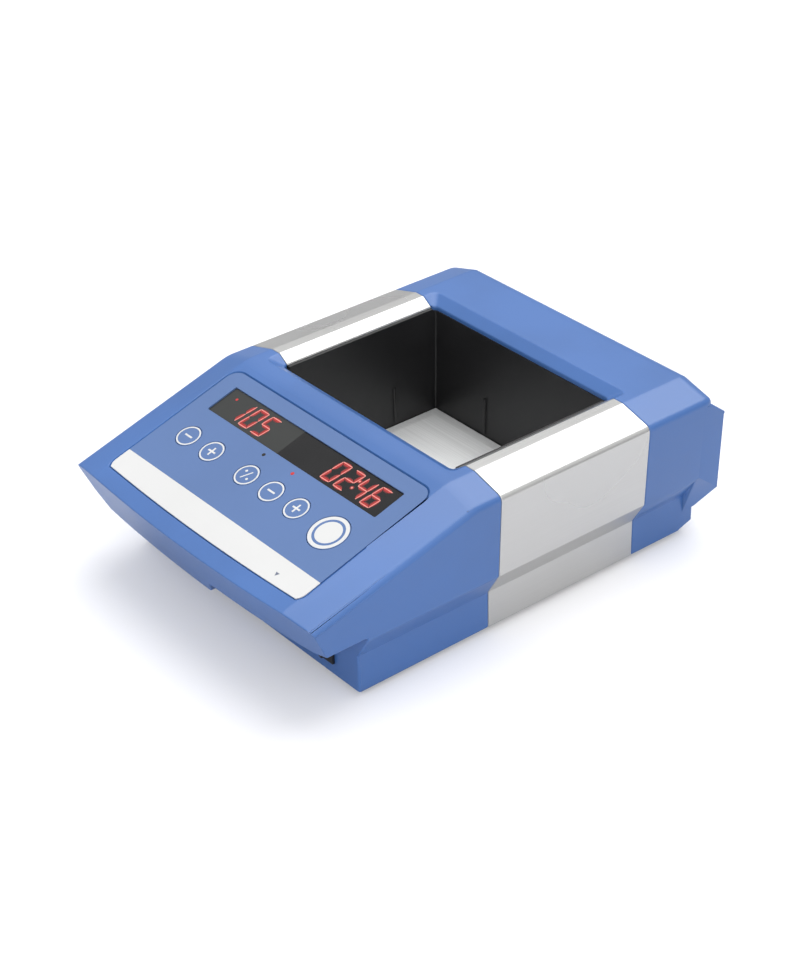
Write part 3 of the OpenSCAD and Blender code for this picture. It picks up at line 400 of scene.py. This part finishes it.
def moulded(name, colour, roughness, grain=1400.0, depth=0.00002, mottle=0.05, metallic=0.0,
            specular=0.5, coat=0.0):
    """Moulded or painted surface: fine spark-eroded grain, faint mottling, uneven sheen."""
    material, nodes, links, shader = new_shader(name)
    if shader is None:
        return material
    place = object_place(nodes)
    fine = noise(nodes, links, place, grain, 3.0)
    broad = noise(nodes, links, place, 14.0, 3.0)
    dark = tuple(c * (1 - mottle) for c in colour)
    light = tuple(min(1.0, c * (1 + mottle)) for c in colour)
    links.new(blend_colours(nodes, links, ramp(nodes, links, broad, 0, 1), dark, light),
              shader.inputs["Base Color"])
    links.new(ramp(nodes, links, broad, roughness * 0.92, roughness * 1.08),
              shader.inputs["Roughness"])
    shader.inputs["Metallic"].default_value = metallic
    shader.inputs["Specular IOR Level"].default_value = specular
    shader.inputs["Coat Weight"].default_value = coat
    bump(nodes, links, fine, depth, shader)
    return material


def drawn_metal(name, colour, roughness, metallic, axis, depth=0.000004, contrast=0.04):
    """Extruded or machined metal: fine lines along one axis."""
    material, nodes, links, shader = new_shader(name)
    if shader is None:
        return material
    place = object_place(nodes)
    stretch = nodes.new("ShaderNodeMapping")
    scale = [2600.0, 2600.0, 2600.0]
    scale["XYZ".index(axis)] = 9.0
    stretch.inputs["Scale"].default_value = scale
    links.new(place, stretch.inputs["Vector"])
    lines = noise(nodes, links, stretch.outputs["Vector"], 1.0, 2.0)
    broad = noise(nodes, links, place, 11.0, 2.0)
    dark = tuple(c * (1 - contrast) for c in colour)
    light = tuple(min(1.0, c * (1 + contrast)) for c in colour)
    links.new(blend_colours(nodes, links, ramp(nodes, links, lines, 0, 1), dark, light),
              shader.inputs["Base Color"])
    links.new(ramp(nodes, links, broad, roughness * 0.9, roughness * 1.1),
              shader.inputs["Roughness"])
    shader.inputs["Metallic"].default_value = metallic
    bump(nodes, links, lines, depth, shader)
    return material


def glowing(name, colour, strength):
    """Lit lamp or segment with a faint grain."""
    material, nodes, links, shader = new_shader(name)
    if shader is None:
        return material
    place = object_place(nodes)
    grain = noise(nodes, links, place, 900.0, 2.0)
    dark = tuple(c * 0.85 for c in colour)
    links.new(blend_colours(nodes, links, ramp(nodes, links, grain, 0, 1), dark, colour),
              shader.inputs["Emission Color"])
    shader.inputs["Base Color"].default_value = (0.02, 0.0, 0.0, 1)
    shader.inputs["Emission Strength"].default_value = strength
    return material


def smoked_pane(name):
    """Dark filter pane: a lighter zone over the temperature figures, near black elsewhere."""
    material, nodes, links, shader = new_shader(name)
    if shader is None:
        return material
    place = object_place(nodes)
    parts = nodes.new("ShaderNodeSeparateXYZ")
    links.new(place, parts.inputs["Vector"])
    left = ramp(nodes, links, parts.outputs["X"], 1, 0, -0.0104, -0.0096)
    haze = noise(nodes, links, place, 60.0, 2.0)
    tone = blend_colours(nodes, links, left, (0.010, 0.010, 0.011), (0.036, 0.038, 0.037))
    mix = nodes.new("ShaderNodeMix")
    mix.data_type = "RGBA"
    mix.blend_type = "MULTIPLY"
    mix.inputs["Factor"].default_value = 1.0
    links.new(tone, mix.inputs["A"])
    links.new(blend_colours(nodes, links, haze, (0.9, 0.9, 0.9), (1, 1, 1)), mix.inputs["B"])
    links.new(mix.outputs["Result"], shader.inputs["Base Color"])
    links.new(ramp(nodes, links, haze, 0.2, 0.26), shader.inputs["Roughness"])
    shader.inputs["Specular IOR Level"].default_value = 0.3
    return material


def glass_tube(name):
    """Clear glass of the fuses."""
    material, nodes, links, shader = new_shader(name)
    if shader is None:
        return material
    place = object_place(nodes)
    haze = noise(nodes, links, place, 400.0, 2.0)
    links.new(blend_colours(nodes, links, haze, (0.75, 0.77, 0.76), (0.9, 0.91, 0.9)),
              shader.inputs["Base Color"])
    shader.inputs["Roughness"].default_value = 0.08
    shader.inputs["Transmission Weight"].default_value = 0.6
    return material


def felt(name, colour):
    """Rough fibrous insulation."""
    material, nodes, links, shader = new_shader(name)
    if shader is None:
        return material
    place = object_place(nodes)
    fibres = noise(nodes, links, place, 700.0, 8.0, 0.7)
    dark = tuple(c * 0.72 for c in colour)
    links.new(blend_colours(nodes, links, ramp(nodes, links, fibres, 0, 1), dark, colour),
              shader.inputs["Base Color"])
    shader.inputs["Roughness"].default_value = 0.95
    bump(nodes, links, fibres, 0.0002, shader)
    return material


def finishes():
    """Every material of the incubator, by a short name."""
    colours = bpy.context.scene.incubator_colours
    blue = tuple(colours.plastic)
    film = tuple(colours.film)
    silver = tuple(colours.silver)
    return {
        "blue": moulded("blue_moulding", blue, 0.34, specular=0.65),
        "film": moulded("matt_film", film, 0.55, grain=2600.0, depth=0.000008, mottle=0.03,
                        specular=0.35),
        "silver": drawn_metal("silver_paint", silver, 0.3, 0.8, "Y", 0.000001, 0.012),
        "plate": drawn_metal("milled_aluminium", (0.86, 0.87, 0.87), 0.5, 0.35, "X", 0.000006,
                             0.05),
        "black": moulded("black_moulding", (0.012, 0.012, 0.013), 0.5, specular=0.4),
        "liner": moulded("well_moulding", (0.011, 0.011, 0.012), 0.42, grain=900.0, mottle=0.2,
                         specular=0.5),
        "gloss": moulded("gloss_black", (0.012, 0.012, 0.013), 0.22, depth=0.000002, specular=0.5),
        "white": moulded("white_print", (0.61, 0.612, 0.61), 0.5, grain=2600.0, depth=0.000004,
                         mottle=0.015),
        "grey_mark": moulded("grey_print", (0.12, 0.14, 0.2), 0.5, depth=0.000004),
        "pane": smoked_pane("smoked_pane"),
        "steel": drawn_metal("zinc_steel", (0.55, 0.56, 0.58), 0.38, 0.9, "X"),
        "rubber": moulded("foot_rubber", (0.022, 0.022, 0.022), 0.8, grain=500.0, depth=0.00005),
        "mat": moulded("silicone_mat", (0.4, 0.08, 0.03), 0.7, grain=700.0, depth=0.00006),
        "felt": felt("mineral_felt", (0.7, 0.66, 0.52)),
        "board": moulded("board_lacquer", (0.01, 0.11, 0.04), 0.3, grain=600.0, mottle=0.15),
        "lens": moulded("red_lens", (0.5, 0.02, 0.015), 0.25, depth=0.000002),
        "blue_part": moulded("relay_case", (0.03, 0.09, 0.3), 0.4),
        "yellow_part": moulded("capacitor_case", (0.5, 0.36, 0.03), 0.35),
        "glass": glass_tube("fuse_glass"),
        "brass": drawn_metal("brass_stud", (0.65, 0.44, 0.16), 0.35, 1.0, "Z"),
        "dark_metal": drawn_metal("black_anodised", (0.03, 0.03, 0.033), 0.45, 0.7, "Z"),
        "cable": moulded("cable_sheath", (0.32, 0.33, 0.36), 0.5, grain=300.0, depth=0.00005),
        "green_part": moulded("terminal_case", (0.02, 0.24, 0.08), 0.45),
        # Darker blue for the groove round the panel film: painted shade in the recess
        "groove": moulded("groove_shade", (0.03, 0.12, 0.36), 0.6, depth=0.000004),
        "core": glowing("figure_core", (1.0, 0.36, 0.31), 1.0),
        # The two finishes below paint the halo of red light spreading round the lit segments
        "painted_glow": glowing("figure_painted_glow", (0.50, 0.010, 0.010), 1.0),
        "painted_halo": glowing("figure_painted_halo", (0.13, 0.004, 0.004), 1.0),
        "lamp": glowing("red_lamp", (0.85, 0.03, 0.03), 0.8),
    }


# Finish of each node that keeps its solid
NODE_FINISH = {
    "base_plate": "steel", "insulation_pad": "felt", "insulation_jacket": "felt",
    "heating_mat": "mat", "temperature_sensor": "steel", "thermal_cutout": "steel",
    "plate_spacers": "steel", "control_board": "board", "temperature_display": "gloss",
    "time_display": "gloss", "key_switches": "black", "indicator_lights": "lens",
    "power_board": "board", "board_standoffs": "white", "transformer": "steel",
    "relay": "blue_part", "filter_capacitors": "yellow_part", "heat_sink": "dark_metal",
    "triac": "black", "terminal_block": "green_part", "earth_stud": "brass",
    "ribbon_cable": "cable", "profile_screws": "steel", "base_screws": "steel",
    "board_screws": "steel", "plate_screws": "steel", "fuses": "glass",
}


class IncubatorColours(bpy.types.PropertyGroup):
    plastic: FloatVectorProperty(
        name="Housing plastic", description="Colour of the moulded end housings",
        subtype="COLOR", min=0, max=1, default=(0.046, 0.133, 0.375))
    film: FloatVectorProperty(
        name="Panel film", description="Colour of the printed film on the key panel",
        subtype="COLOR", min=0, max=1, default=(0.092, 0.162, 0.345))
    silver: FloatVectorProperty(
        name="Profile paint", description="Colour of the aluminium side profiles",
        subtype="COLOR", min=0, max=1, default=(0.565, 0.565, 0.558))


class IncubatorSizes(bpy.types.PropertyGroup):
    edge: FloatProperty(
        name="Housing edge", description="Radius of the rounded edges of the housings, in mm",
        default=0.8, min=0.2, max=1.5)
    small_edge: FloatProperty(
        name="Small edge", description="Radius of the rounded edges of keys and fittings, in mm",
        default=0.2, min=0.05, max=0.4)
    print_line: FloatProperty(
        name="Print line", description="Width of the printed rings and signs, in mm",
        default=0.85, min=0.3, max=1.5)
    figure_h: FloatProperty(
        name="Figure height", description="Height of the lit figures, in mm",
        default=14.4, min=10, max=15)
    temperature: StringProperty(
        name="Temperature", description="Three figures of the temperature display", default="105")
    time: StringProperty(
        name="Time", description="Four figures of the time display", default="0246")


class IncubatorStudio(bpy.types.PropertyGroup):
    lens: FloatProperty(
        name="Lens", description="Focal length of the camera", default=85.13, min=20, max=200)
    sky: FloatProperty(
        name="Room light", description="Strength of the light of the whole room",
        default=0.94, min=0, max=4)
    softbox: FloatProperty(
        name="Softbox", description="Level of the round softbox overhead",
        default=3.0, min=0, max=6)
    fill: FloatProperty(
        name="Fill", description="Level of the soft light from the viewer's side",
        default=0.95, min=0, max=4)


class BuildHousings(bpy.types.Operator):
    """Skins of the two moulded end housings"""
    bl_idname = "incubator.housings"
    bl_label = "End housings"

    def execute(self, context):
        looks = finishes()
        edge = context.scene.incubator_sizes.edge
        paint(skin("rear_housing", edge), looks["blue"])
        front = skin("front_housing", edge)
        paint(front, looks["blue"], looks["groove"])
        # Faces in the groove round the panel film get the darker blue, painted shade of the recess
        to_panel = PANEL.inverted()
        for polygon in front.data.polygons:
            spot = (to_panel @ polygon.center) / MM
            in_rows = GROOVE_ROWS[0] < -spot.y < GROOVE_ROWS[1]
            in_depth = GROOVE_HEIGHTS[0] < spot.z < GROOVE_HEIGHTS[1]
            if abs(spot.x) < GROOVE_HALF_X and in_rows and in_depth:
                polygon.material_index = 1
        return {"FINISHED"}


class BuildProfiles(bpy.types.Operator):
    """Skins of the two aluminium side profiles"""
    bl_idname = "incubator.profiles"
    bl_label = "Side profiles"

    def execute(self, context):
        looks = finishes()
        for node in ("side_profile_left", "side_profile_right"):
            paint(skin(node, context.scene.incubator_sizes.edge * 0.6), looks["silver"])
        return {"FINISHED"}


class BuildWell(bpy.types.Operator):
    """Skins of the well liner and the heater plate"""
    bl_idname = "incubator.well"
    bl_label = "Well and plate"

    def execute(self, context):
        looks = finishes()
        small = context.scene.incubator_sizes.small_edge
        paint(skin("well_liner", 0, dissolve=False), looks["liner"])
        paint(skin("heater_plate", small, least_angle=9), looks["plate"])
        return {"FINISHED"}


class BuildPanel(bpy.types.Operator):
    """Skins of the panel film, the white strip, the window and the keys"""
    bl_idname = "incubator.panel"
    bl_label = "Key panel"

    def execute(self, context):
        looks = finishes()
        small = context.scene.incubator_sizes.small_edge
        paint(skin("keypad_overlay", small * 0.6, least_angle=30), looks["film"])
        paint(skin("label_strip", small * 0.6, least_angle=30), looks["white"])
        paint(skin("display_window", small * 0.6, least_angle=30), looks["pane"])
        for node in sorted(frame["nodes"]):
            if node.startswith("key_") and node != "key_switches":
                paint(skin(node, small, least_angle=30, least_length=0.1), looks["film"])
        return {"FINISHED"}


def flat_piece(name, matrix, thickness, material, body):
    """Finishes the active flat mesh: names it, gives it thickness, a place and a body."""
    piece = bpy.context.object
    piece.name = name
    piece.data.name = name
    solid = piece.modifiers.new("film", "SOLIDIFY")
    solid.thickness = thickness * MM
    solid.offset = 1.0
    apply_all(piece)
    bpy.ops.object.mode_set(mode="EDIT")
    bpy.ops.mesh.select_all(action="SELECT")
    bpy.ops.mesh.normals_make_consistent(inside=False)
    bpy.ops.object.mode_set(mode="OBJECT")
    settle(piece, matrix)
    paint(piece, material)
    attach(piece, body)
    return piece


def ring(inner, outer, x=0.0, y=0.0, steps=72):
    """Flat ring in millimetres, made by insetting a filled circle and deleting its middle.

    With no inner radius it stays a disc."""
    deselect()
    bpy.ops.mesh.primitive_circle_add(vertices=steps, radius=outer * MM, fill_type="NGON",
                                      location=(x * MM, y * MM, 0))
    piece = bpy.context.object
    if inner > 0:
        bpy.ops.object.mode_set(mode="EDIT")
        bpy.ops.mesh.select_all(action="SELECT")
        bpy.ops.mesh.inset(thickness=(outer - inner) * MM)
        bpy.ops.mesh.delete(type="FACE")
        bpy.ops.object.mode_set(mode="OBJECT")
    return settle(piece)


def bar(width, height, x=0.0, y=0.0, turn=0.0, corner=0.0):
    """Flat bar in millimetres, its corners cut off where a corner size is given."""
    deselect()
    bpy.ops.mesh.primitive_plane_add(size=MM, location=(0, 0, 0))
    piece = bpy.context.object
    piece.data.transform(Matrix.Diagonal((width, height, 1, 1)))
    if corner > 0:
        bpy.ops.object.mode_set(mode="EDIT")
        bpy.ops.mesh.select_all(action="SELECT")
        bpy.ops.mesh.bevel(offset=corner * MM, segments=1, affect="VERTICES")
        bpy.ops.object.mode_set(mode="OBJECT")
    piece.data.transform(Matrix.Translation((x * MM, y * MM, 0)) @ Matrix.Rotation(turn, 4, "Z"))
    return piece


def key_sign(sign):
    """Flat pieces of the sign on a key."""
    if sign == "slash":
        return [bar(SLASH_WIDTH, SLASH_LENGTH, turn=math.radians(SLASH_TURN)),
                ring(0.0, SLASH_DOT_R, -SLASH_DOT_X, SLASH_DOT_Y, 24),
                ring(0.0, SLASH_DOT_R, SLASH_DOT_X, -SLASH_DOT_Y, 24)]
    pieces = [bar(SIGN_LENGTH, SIGN_WIDTH)]
    if sign == "plus":
        half = (SIGN_LENGTH - SIGN_WIDTH) / 2
        middle = (SIGN_WIDTH + half) / 2
        pieces.append(bar(SIGN_WIDTH, half, y=middle))
        pieces.append(bar(SIGN_WIDTH, half, y=-middle))
    return pieces


# Place across the panel and sign of each small key
SMALL_KEYS = {
    "key_temperature_minus": (TEMP_KEYS_X, "minus"),
    "key_temperature_plus": (TEMP_KEYS_X + KEY_PITCH, "plus"),
    "key_mode": (TIME_KEYS_X, "slash"),
    "key_timer_minus": (TIME_KEYS_X + KEY_PITCH, "minus"),
    "key_timer_plus": (TIME_KEYS_X + 2 * KEY_PITCH, "plus"),
}


class BuildPrints(bpy.types.Operator):
    """Printed rings and signs on the keys, and the marks of the panel"""
    bl_idname = "incubator.prints"
    bl_label = "Prints"

    def execute(self, context):
        looks = finishes()
        line = context.scene.incubator_sizes.print_line
        for node, (x, sign) in SMALL_KEYS.items():
            join([ring(KEY_RING_R - line, KEY_RING_R)] + key_sign(sign))
            flat_piece(node + "_print", on_panel(x, KEY_ROW, FILM_TOP), PRINT_THICK,
                       looks["white"], body_of_node(node))
        join([ring(START_RING_HOLE_R, START_RING_R, steps=96), ring(0.0, START_FIELD_R, steps=96)])
        flat_piece("key_start_print", on_panel(START_X, START_ROW, FILM_TOP), PRINT_THICK,
                   looks["white"], body_of_node("key_start"))
        ring(0.0, POINTER_R, steps=3)
        place = on_panel(POINTER_X, POINTER_ROW, FILM_TOP) @ Matrix.Rotation(math.pi, 4, "Z")
        flat_piece("switch_pointer", place, PRINT_THICK, looks["grey_mark"], "instrument")
        return {"FINISHED"}


# Lit segments of each figure: top, upper right, lower right, bottom, lower left, upper left, middle
FIGURES = {
    "0": "abcdef", "1": "bc", "2": "abged", "3": "abgcd", "4": "fgbc",
    "5": "afgcd", "6": "afgcde", "7": "abc", "8": "abcdefg", "9": "abcdfg",
}


def figure(char, height, width, stroke):
    """Segments of one upright figure around its middle."""
    half_h = (height - stroke) / 2
    half_w = (width - stroke) / 2
    upright = half_h - stroke * 0.25
    level = 2 * half_w - stroke * 0.25
    places = {
        "a": (level, 0, half_h, False), "d": (level, 0, -half_h, False),
        "g": (level, 0, 0, False), "b": (upright, half_w, half_h / 2, True),
        "c": (upright, half_w, -half_h / 2, True), "e": (upright, -half_w, -half_h / 2, True),
        "f": (upright, -half_w, half_h / 2, True),
    }
    pieces = []
    for name in FIGURES[char]:
        length, x, y, stands = places[name]
        across, along = (stroke, length) if stands else (length, stroke)
        pieces.append(bar(across, along, x, y, corner=stroke * 0.48))
    return pieces


class BuildFigures(bpy.types.Operator):
    """Lit figures in the window with a painted halo of red light round them, and the small lamps"""
    bl_idname = "incubator.figures"
    bl_label = "Figures"

    def execute(self, context):
        looks = finishes()
        sizes = context.scene.incubator_sizes
        lean = Matrix.Identity(4)
        lean[0][1] = math.tan(math.radians(FIGURE_LEAN))
        rows = ((TEMP_DIGIT_X, sizes.temperature), (TIME_DIGIT_X, sizes.time))
        # Widest first: two layers of painted halo round each segment, then its lit core
        for stroke, grow, thickness, look in FIGURE_LAYERS:
            pieces = []
            for middle, text in rows:
                for i, char in enumerate(text):
                    x = middle + (i - (len(text) - 1) / 2) * FIGURE_PITCH
                    for piece in figure(char, sizes.figure_h + grow, FIGURE_WIDTH + grow, stroke):
                        piece.data.transform(Matrix.Translation((x * MM, 0, 0)) @ lean)
                        pieces.append(piece)
            for side in (-1, 1):
                pieces.append(ring(0.0, COLON_R + grow / 2, TIME_DIGIT_X, COLON_Y * side, 20))
            join(pieces)
            flat_piece("figures_" + look, on_panel(0, WINDOW_ROW, WINDOW_FACE), thickness,
                       looks[look], "instrument")
        ring(0.0, WINDOW_LAMP_R, steps=24)
        flat_piece("window_lamp", on_panel(WINDOW_LAMP_X, WINDOW_LAMP_ROW, WINDOW_FACE),
                   PRINT_THICK, looks["lamp"], "instrument")
        for name, x, look in (("counter_lamp", LIGHT_X, "gloss"),
                              ("timer_lamp", LIGHT_X + LIGHT_PITCH, "lamp")):
            ring(0.0, LIGHT_R, steps=32)
            flat_piece(name, on_panel(x, LIGHT_ROW, FILM_TOP + LIGHT_LIFT), LIGHT_THICK,
                       looks[look], "instrument")
        return {"FINISHED"}


class BuildFittings(bpy.types.Operator):
    """Skins of the power switch, the rear connectors and the feet"""
    bl_idname = "incubator.fittings"
    bl_label = "Switch, connectors and feet"

    def execute(self, context):
        looks = finishes()
        small = context.scene.incubator_sizes.small_edge
        paint(skin("power_switch_body", small, least_angle=30), looks["black"])
        paint(skin("power_rocker", small * 2, least_angle=20), looks["gloss"])
        paint(skin("mains_inlet", small, least_angle=30), looks["black"])
        paint(skin("fuse_drawer", small, least_angle=30), looks["black"])
        paint(skin("sensor_socket", small, least_angle=30, least_length=0.3), looks["black"])
        paint(skin("rubber_feet", small, least_angle=40, least_length=0.3), looks["rubber"])
        return {"FINISHED"}


class DressInside(bpy.types.Operator):
    """Materials of the pieces that keep their solids"""
    bl_idname = "incubator.inside"
    bl_label = "Inside pieces"

    def execute(self, context):
        looks = finishes()
        for node, look in NODE_FINISH.items():
            target = frame["nodes"][node]
            if not target.material_slots:
                target.data.materials.append(looks[look])
            for slot in target.material_slots:
                slot.material = looks[look]
        return {"FINISHED"}


def floor_material():
    """Pale matt floor that looks a little lighter to the camera than the light makes it."""
    material = bpy.data.materials.new("studio_floor")
    material.use_nodes = True
    nodes = material.node_tree.nodes
    links = material.node_tree.links
    nodes.clear()
    out = nodes.new("ShaderNodeOutputMaterial")
    matt = nodes.new("ShaderNodeBsdfDiffuse")
    matt.inputs["Color"].default_value = FLOOR_COLOUR
    lift = nodes.new("ShaderNodeEmission")
    lift.inputs["Color"].default_value = (1, 1, 1, 1)
    path = nodes.new("ShaderNodeLightPath")
    seen = nodes.new("ShaderNodeMath")
    seen.operation = "MULTIPLY"
    seen.inputs[1].default_value = FLOOR_LIFT
    links.new(path.outputs["Is Camera Ray"], seen.inputs[0])
    links.new(seen.outputs[0], lift.inputs["Strength"])
    add = nodes.new("ShaderNodeAddShader")
    links.new(matt.outputs[0], add.inputs[0])
    links.new(lift.outputs[0], add.inputs[1])
    links.new(add.outputs[0], out.inputs["Surface"])
    return material


def studio_floor():
    """Level floor under the feet."""
    deselect()
    bpy.ops.mesh.primitive_plane_add(size=FLOOR_SIZE, location=(0, 0, 0))
    floor = bpy.context.object
    floor.name = "studio_floor"
    bpy.ops.object.mode_set(mode="EDIT")
    bpy.ops.mesh.subdivide(number_cuts=8)
    bpy.ops.object.mode_set(mode="OBJECT")
    paint(floor, floor_material())


def studio_room(scene, studio):
    """Soft room light with two soft lights in it; the camera itself sees plain white."""
    world = bpy.data.worlds.new("studio_room")
    scene.world = world
    world.use_nodes = True
    nodes = world.node_tree.nodes
    links = world.node_tree.links
    nodes.clear()
    out = nodes.new("ShaderNodeOutputWorld")
    room = nodes.new("ShaderNodeBackground")
    room.inputs["Strength"].default_value = studio.sky
    heading = nodes.new("ShaderNodeTexCoord")
    parts = nodes.new("ShaderNodeSeparateXYZ")
    by_height = nodes.new("ShaderNodeValToRGB")
    stops = by_height.color_ramp.elements
    for at, level in ROOM_LEVELS:
        stop = stops[0] if at == 0.0 else stops[-1] if at == 1.0 else stops.new(at)
        stop.color = (level, level, level, 1)
    links.new(heading.outputs["Generated"], parts.inputs["Vector"])
    links.new(parts.outputs["Z"], by_height.inputs["Fac"])
    light = by_height.outputs["Color"]
    for (toward, start, full), strength in ((SOFTBOX, studio.softbox), (FILL, studio.fill)):
        dot = nodes.new("ShaderNodeVectorMath")
        dot.operation = "DOT_PRODUCT"
        dot.inputs[1].default_value = toward
        links.new(heading.outputs["Generated"], dot.inputs[0])
        add = nodes.new("ShaderNodeMath")
        links.new(light, add.inputs[0])
        links.new(ramp(nodes, links, dot.outputs["Value"], 0, strength, start, full), add.inputs[1])
        light = add.outputs[0]
    links.new(light, room.inputs["Color"])
    shown = nodes.new("ShaderNodeBackground")
    shown.inputs["Color"].default_value = (1, 1, 1, 1)
    shown.inputs["Strength"].default_value = 1.0
    path = nodes.new("ShaderNodeLightPath")
    mix = nodes.new("ShaderNodeMixShader")
    links.new(path.outputs["Is Camera Ray"], mix.inputs["Fac"])
    links.new(room.outputs[0], mix.inputs[1])
    links.new(shown.outputs[0], mix.inputs[2])
    links.new(mix.outputs[0], out.inputs["Surface"])


def studio_camera(scene, lens):
    """Camera that looks down on the front right corner."""
    azimuth = math.radians(CAMERA_AZIMUTH)
    rise = math.radians(CAMERA_RISE)
    roll = math.radians(CAMERA_ROLL)
    back = Vector((math.sin(azimuth) * math.cos(rise), -math.cos(azimuth) * math.cos(rise),
                   math.sin(rise)))
    right = Vector((math.cos(azimuth), math.sin(azimuth), 0))
    up = back.cross(right)
    side = right * math.cos(roll) + up * math.sin(roll)
    top = up * math.cos(roll) - right * math.sin(roll)
    eye = (AIM + back * CAMERA_BACK + right * CAMERA_RIGHT + up * CAMERA_UP) * MM
    camera = bpy.data.cameras.new("photo_camera")
    camera.lens = lens
    camera.sensor_width = 36.0
    camera.sensor_fit = "AUTO"
    camera.clip_end = 50.0
    holder = bpy.data.objects.new("photo_camera", camera)
    scene.collection.objects.link(holder)
    turn = Matrix((side, top, back)).transposed().to_4x4()
    holder.matrix_world = Matrix.Translation(eye) @ turn
    scene.camera = holder


class BuildStudio(bpy.types.Operator):
    """Pale floor, soft light and the camera"""
    bl_idname = "incubator.studio"
    bl_label = "Studio"

    def execute(self, context):
        studio = context.scene.incubator_studio
        studio_floor()
        studio_room(context.scene, studio)
        studio_camera(context.scene, studio.lens)
        context.scene.view_settings.view_transform = "Standard"
        return {"FINISHED"}


class IncubatorPanel(bpy.types.Panel):
    """Steps of the incubator in the 3D view's sidebar"""
    bl_idname = "VIEW3D_PT_incubator"
    bl_label = "Dry bath incubator"
    bl_space_type = "VIEW_3D"
    bl_region_type = "UI"
    bl_category = "Incubator"

    def draw(self, context):
        layout = self.layout
        for group in (context.scene.incubator_colours, context.scene.incubator_sizes,
                      context.scene.incubator_studio):
            for name in group.bl_rna.properties.keys():
                if name not in ("rna_type", "name"):
                    layout.prop(group, name)
        for step in STEPS:
            layout.operator(step.bl_idname)


STEPS = (BuildStudio, BuildHousings, BuildProfiles, BuildWell, BuildPanel, BuildPrints,
         BuildFigures, BuildFittings, DressInside)
GROUPS = (IncubatorColours, IncubatorSizes, IncubatorStudio)


def register():
    for cls in GROUPS + STEPS + (IncubatorPanel,):
        bpy.utils.register_class(cls)
    bpy.types.Scene.incubator_colours = PointerProperty(type=IncubatorColours)
    bpy.types.Scene.incubator_sizes = PointerProperty(type=IncubatorSizes)
    bpy.types.Scene.incubator_studio = PointerProperty(type=IncubatorStudio)


def unregister():
    del bpy.types.Scene.incubator_studio
    del bpy.types.Scene.incubator_sizes
    del bpy.types.Scene.incubator_colours
    for cls in reversed(GROUPS + STEPS + (IncubatorPanel,)):
        bpy.utils.unregister_class(cls)


def main():
    register()
    for step in STEPS:
        group, name = step.bl_idname.split(".")
        if getattr(getattr(bpy.ops, group), name)() != {"FINISHED"}:
            raise RuntimeError(step.bl_label + " did not finish")


if __name__ == "__main__":
    main()
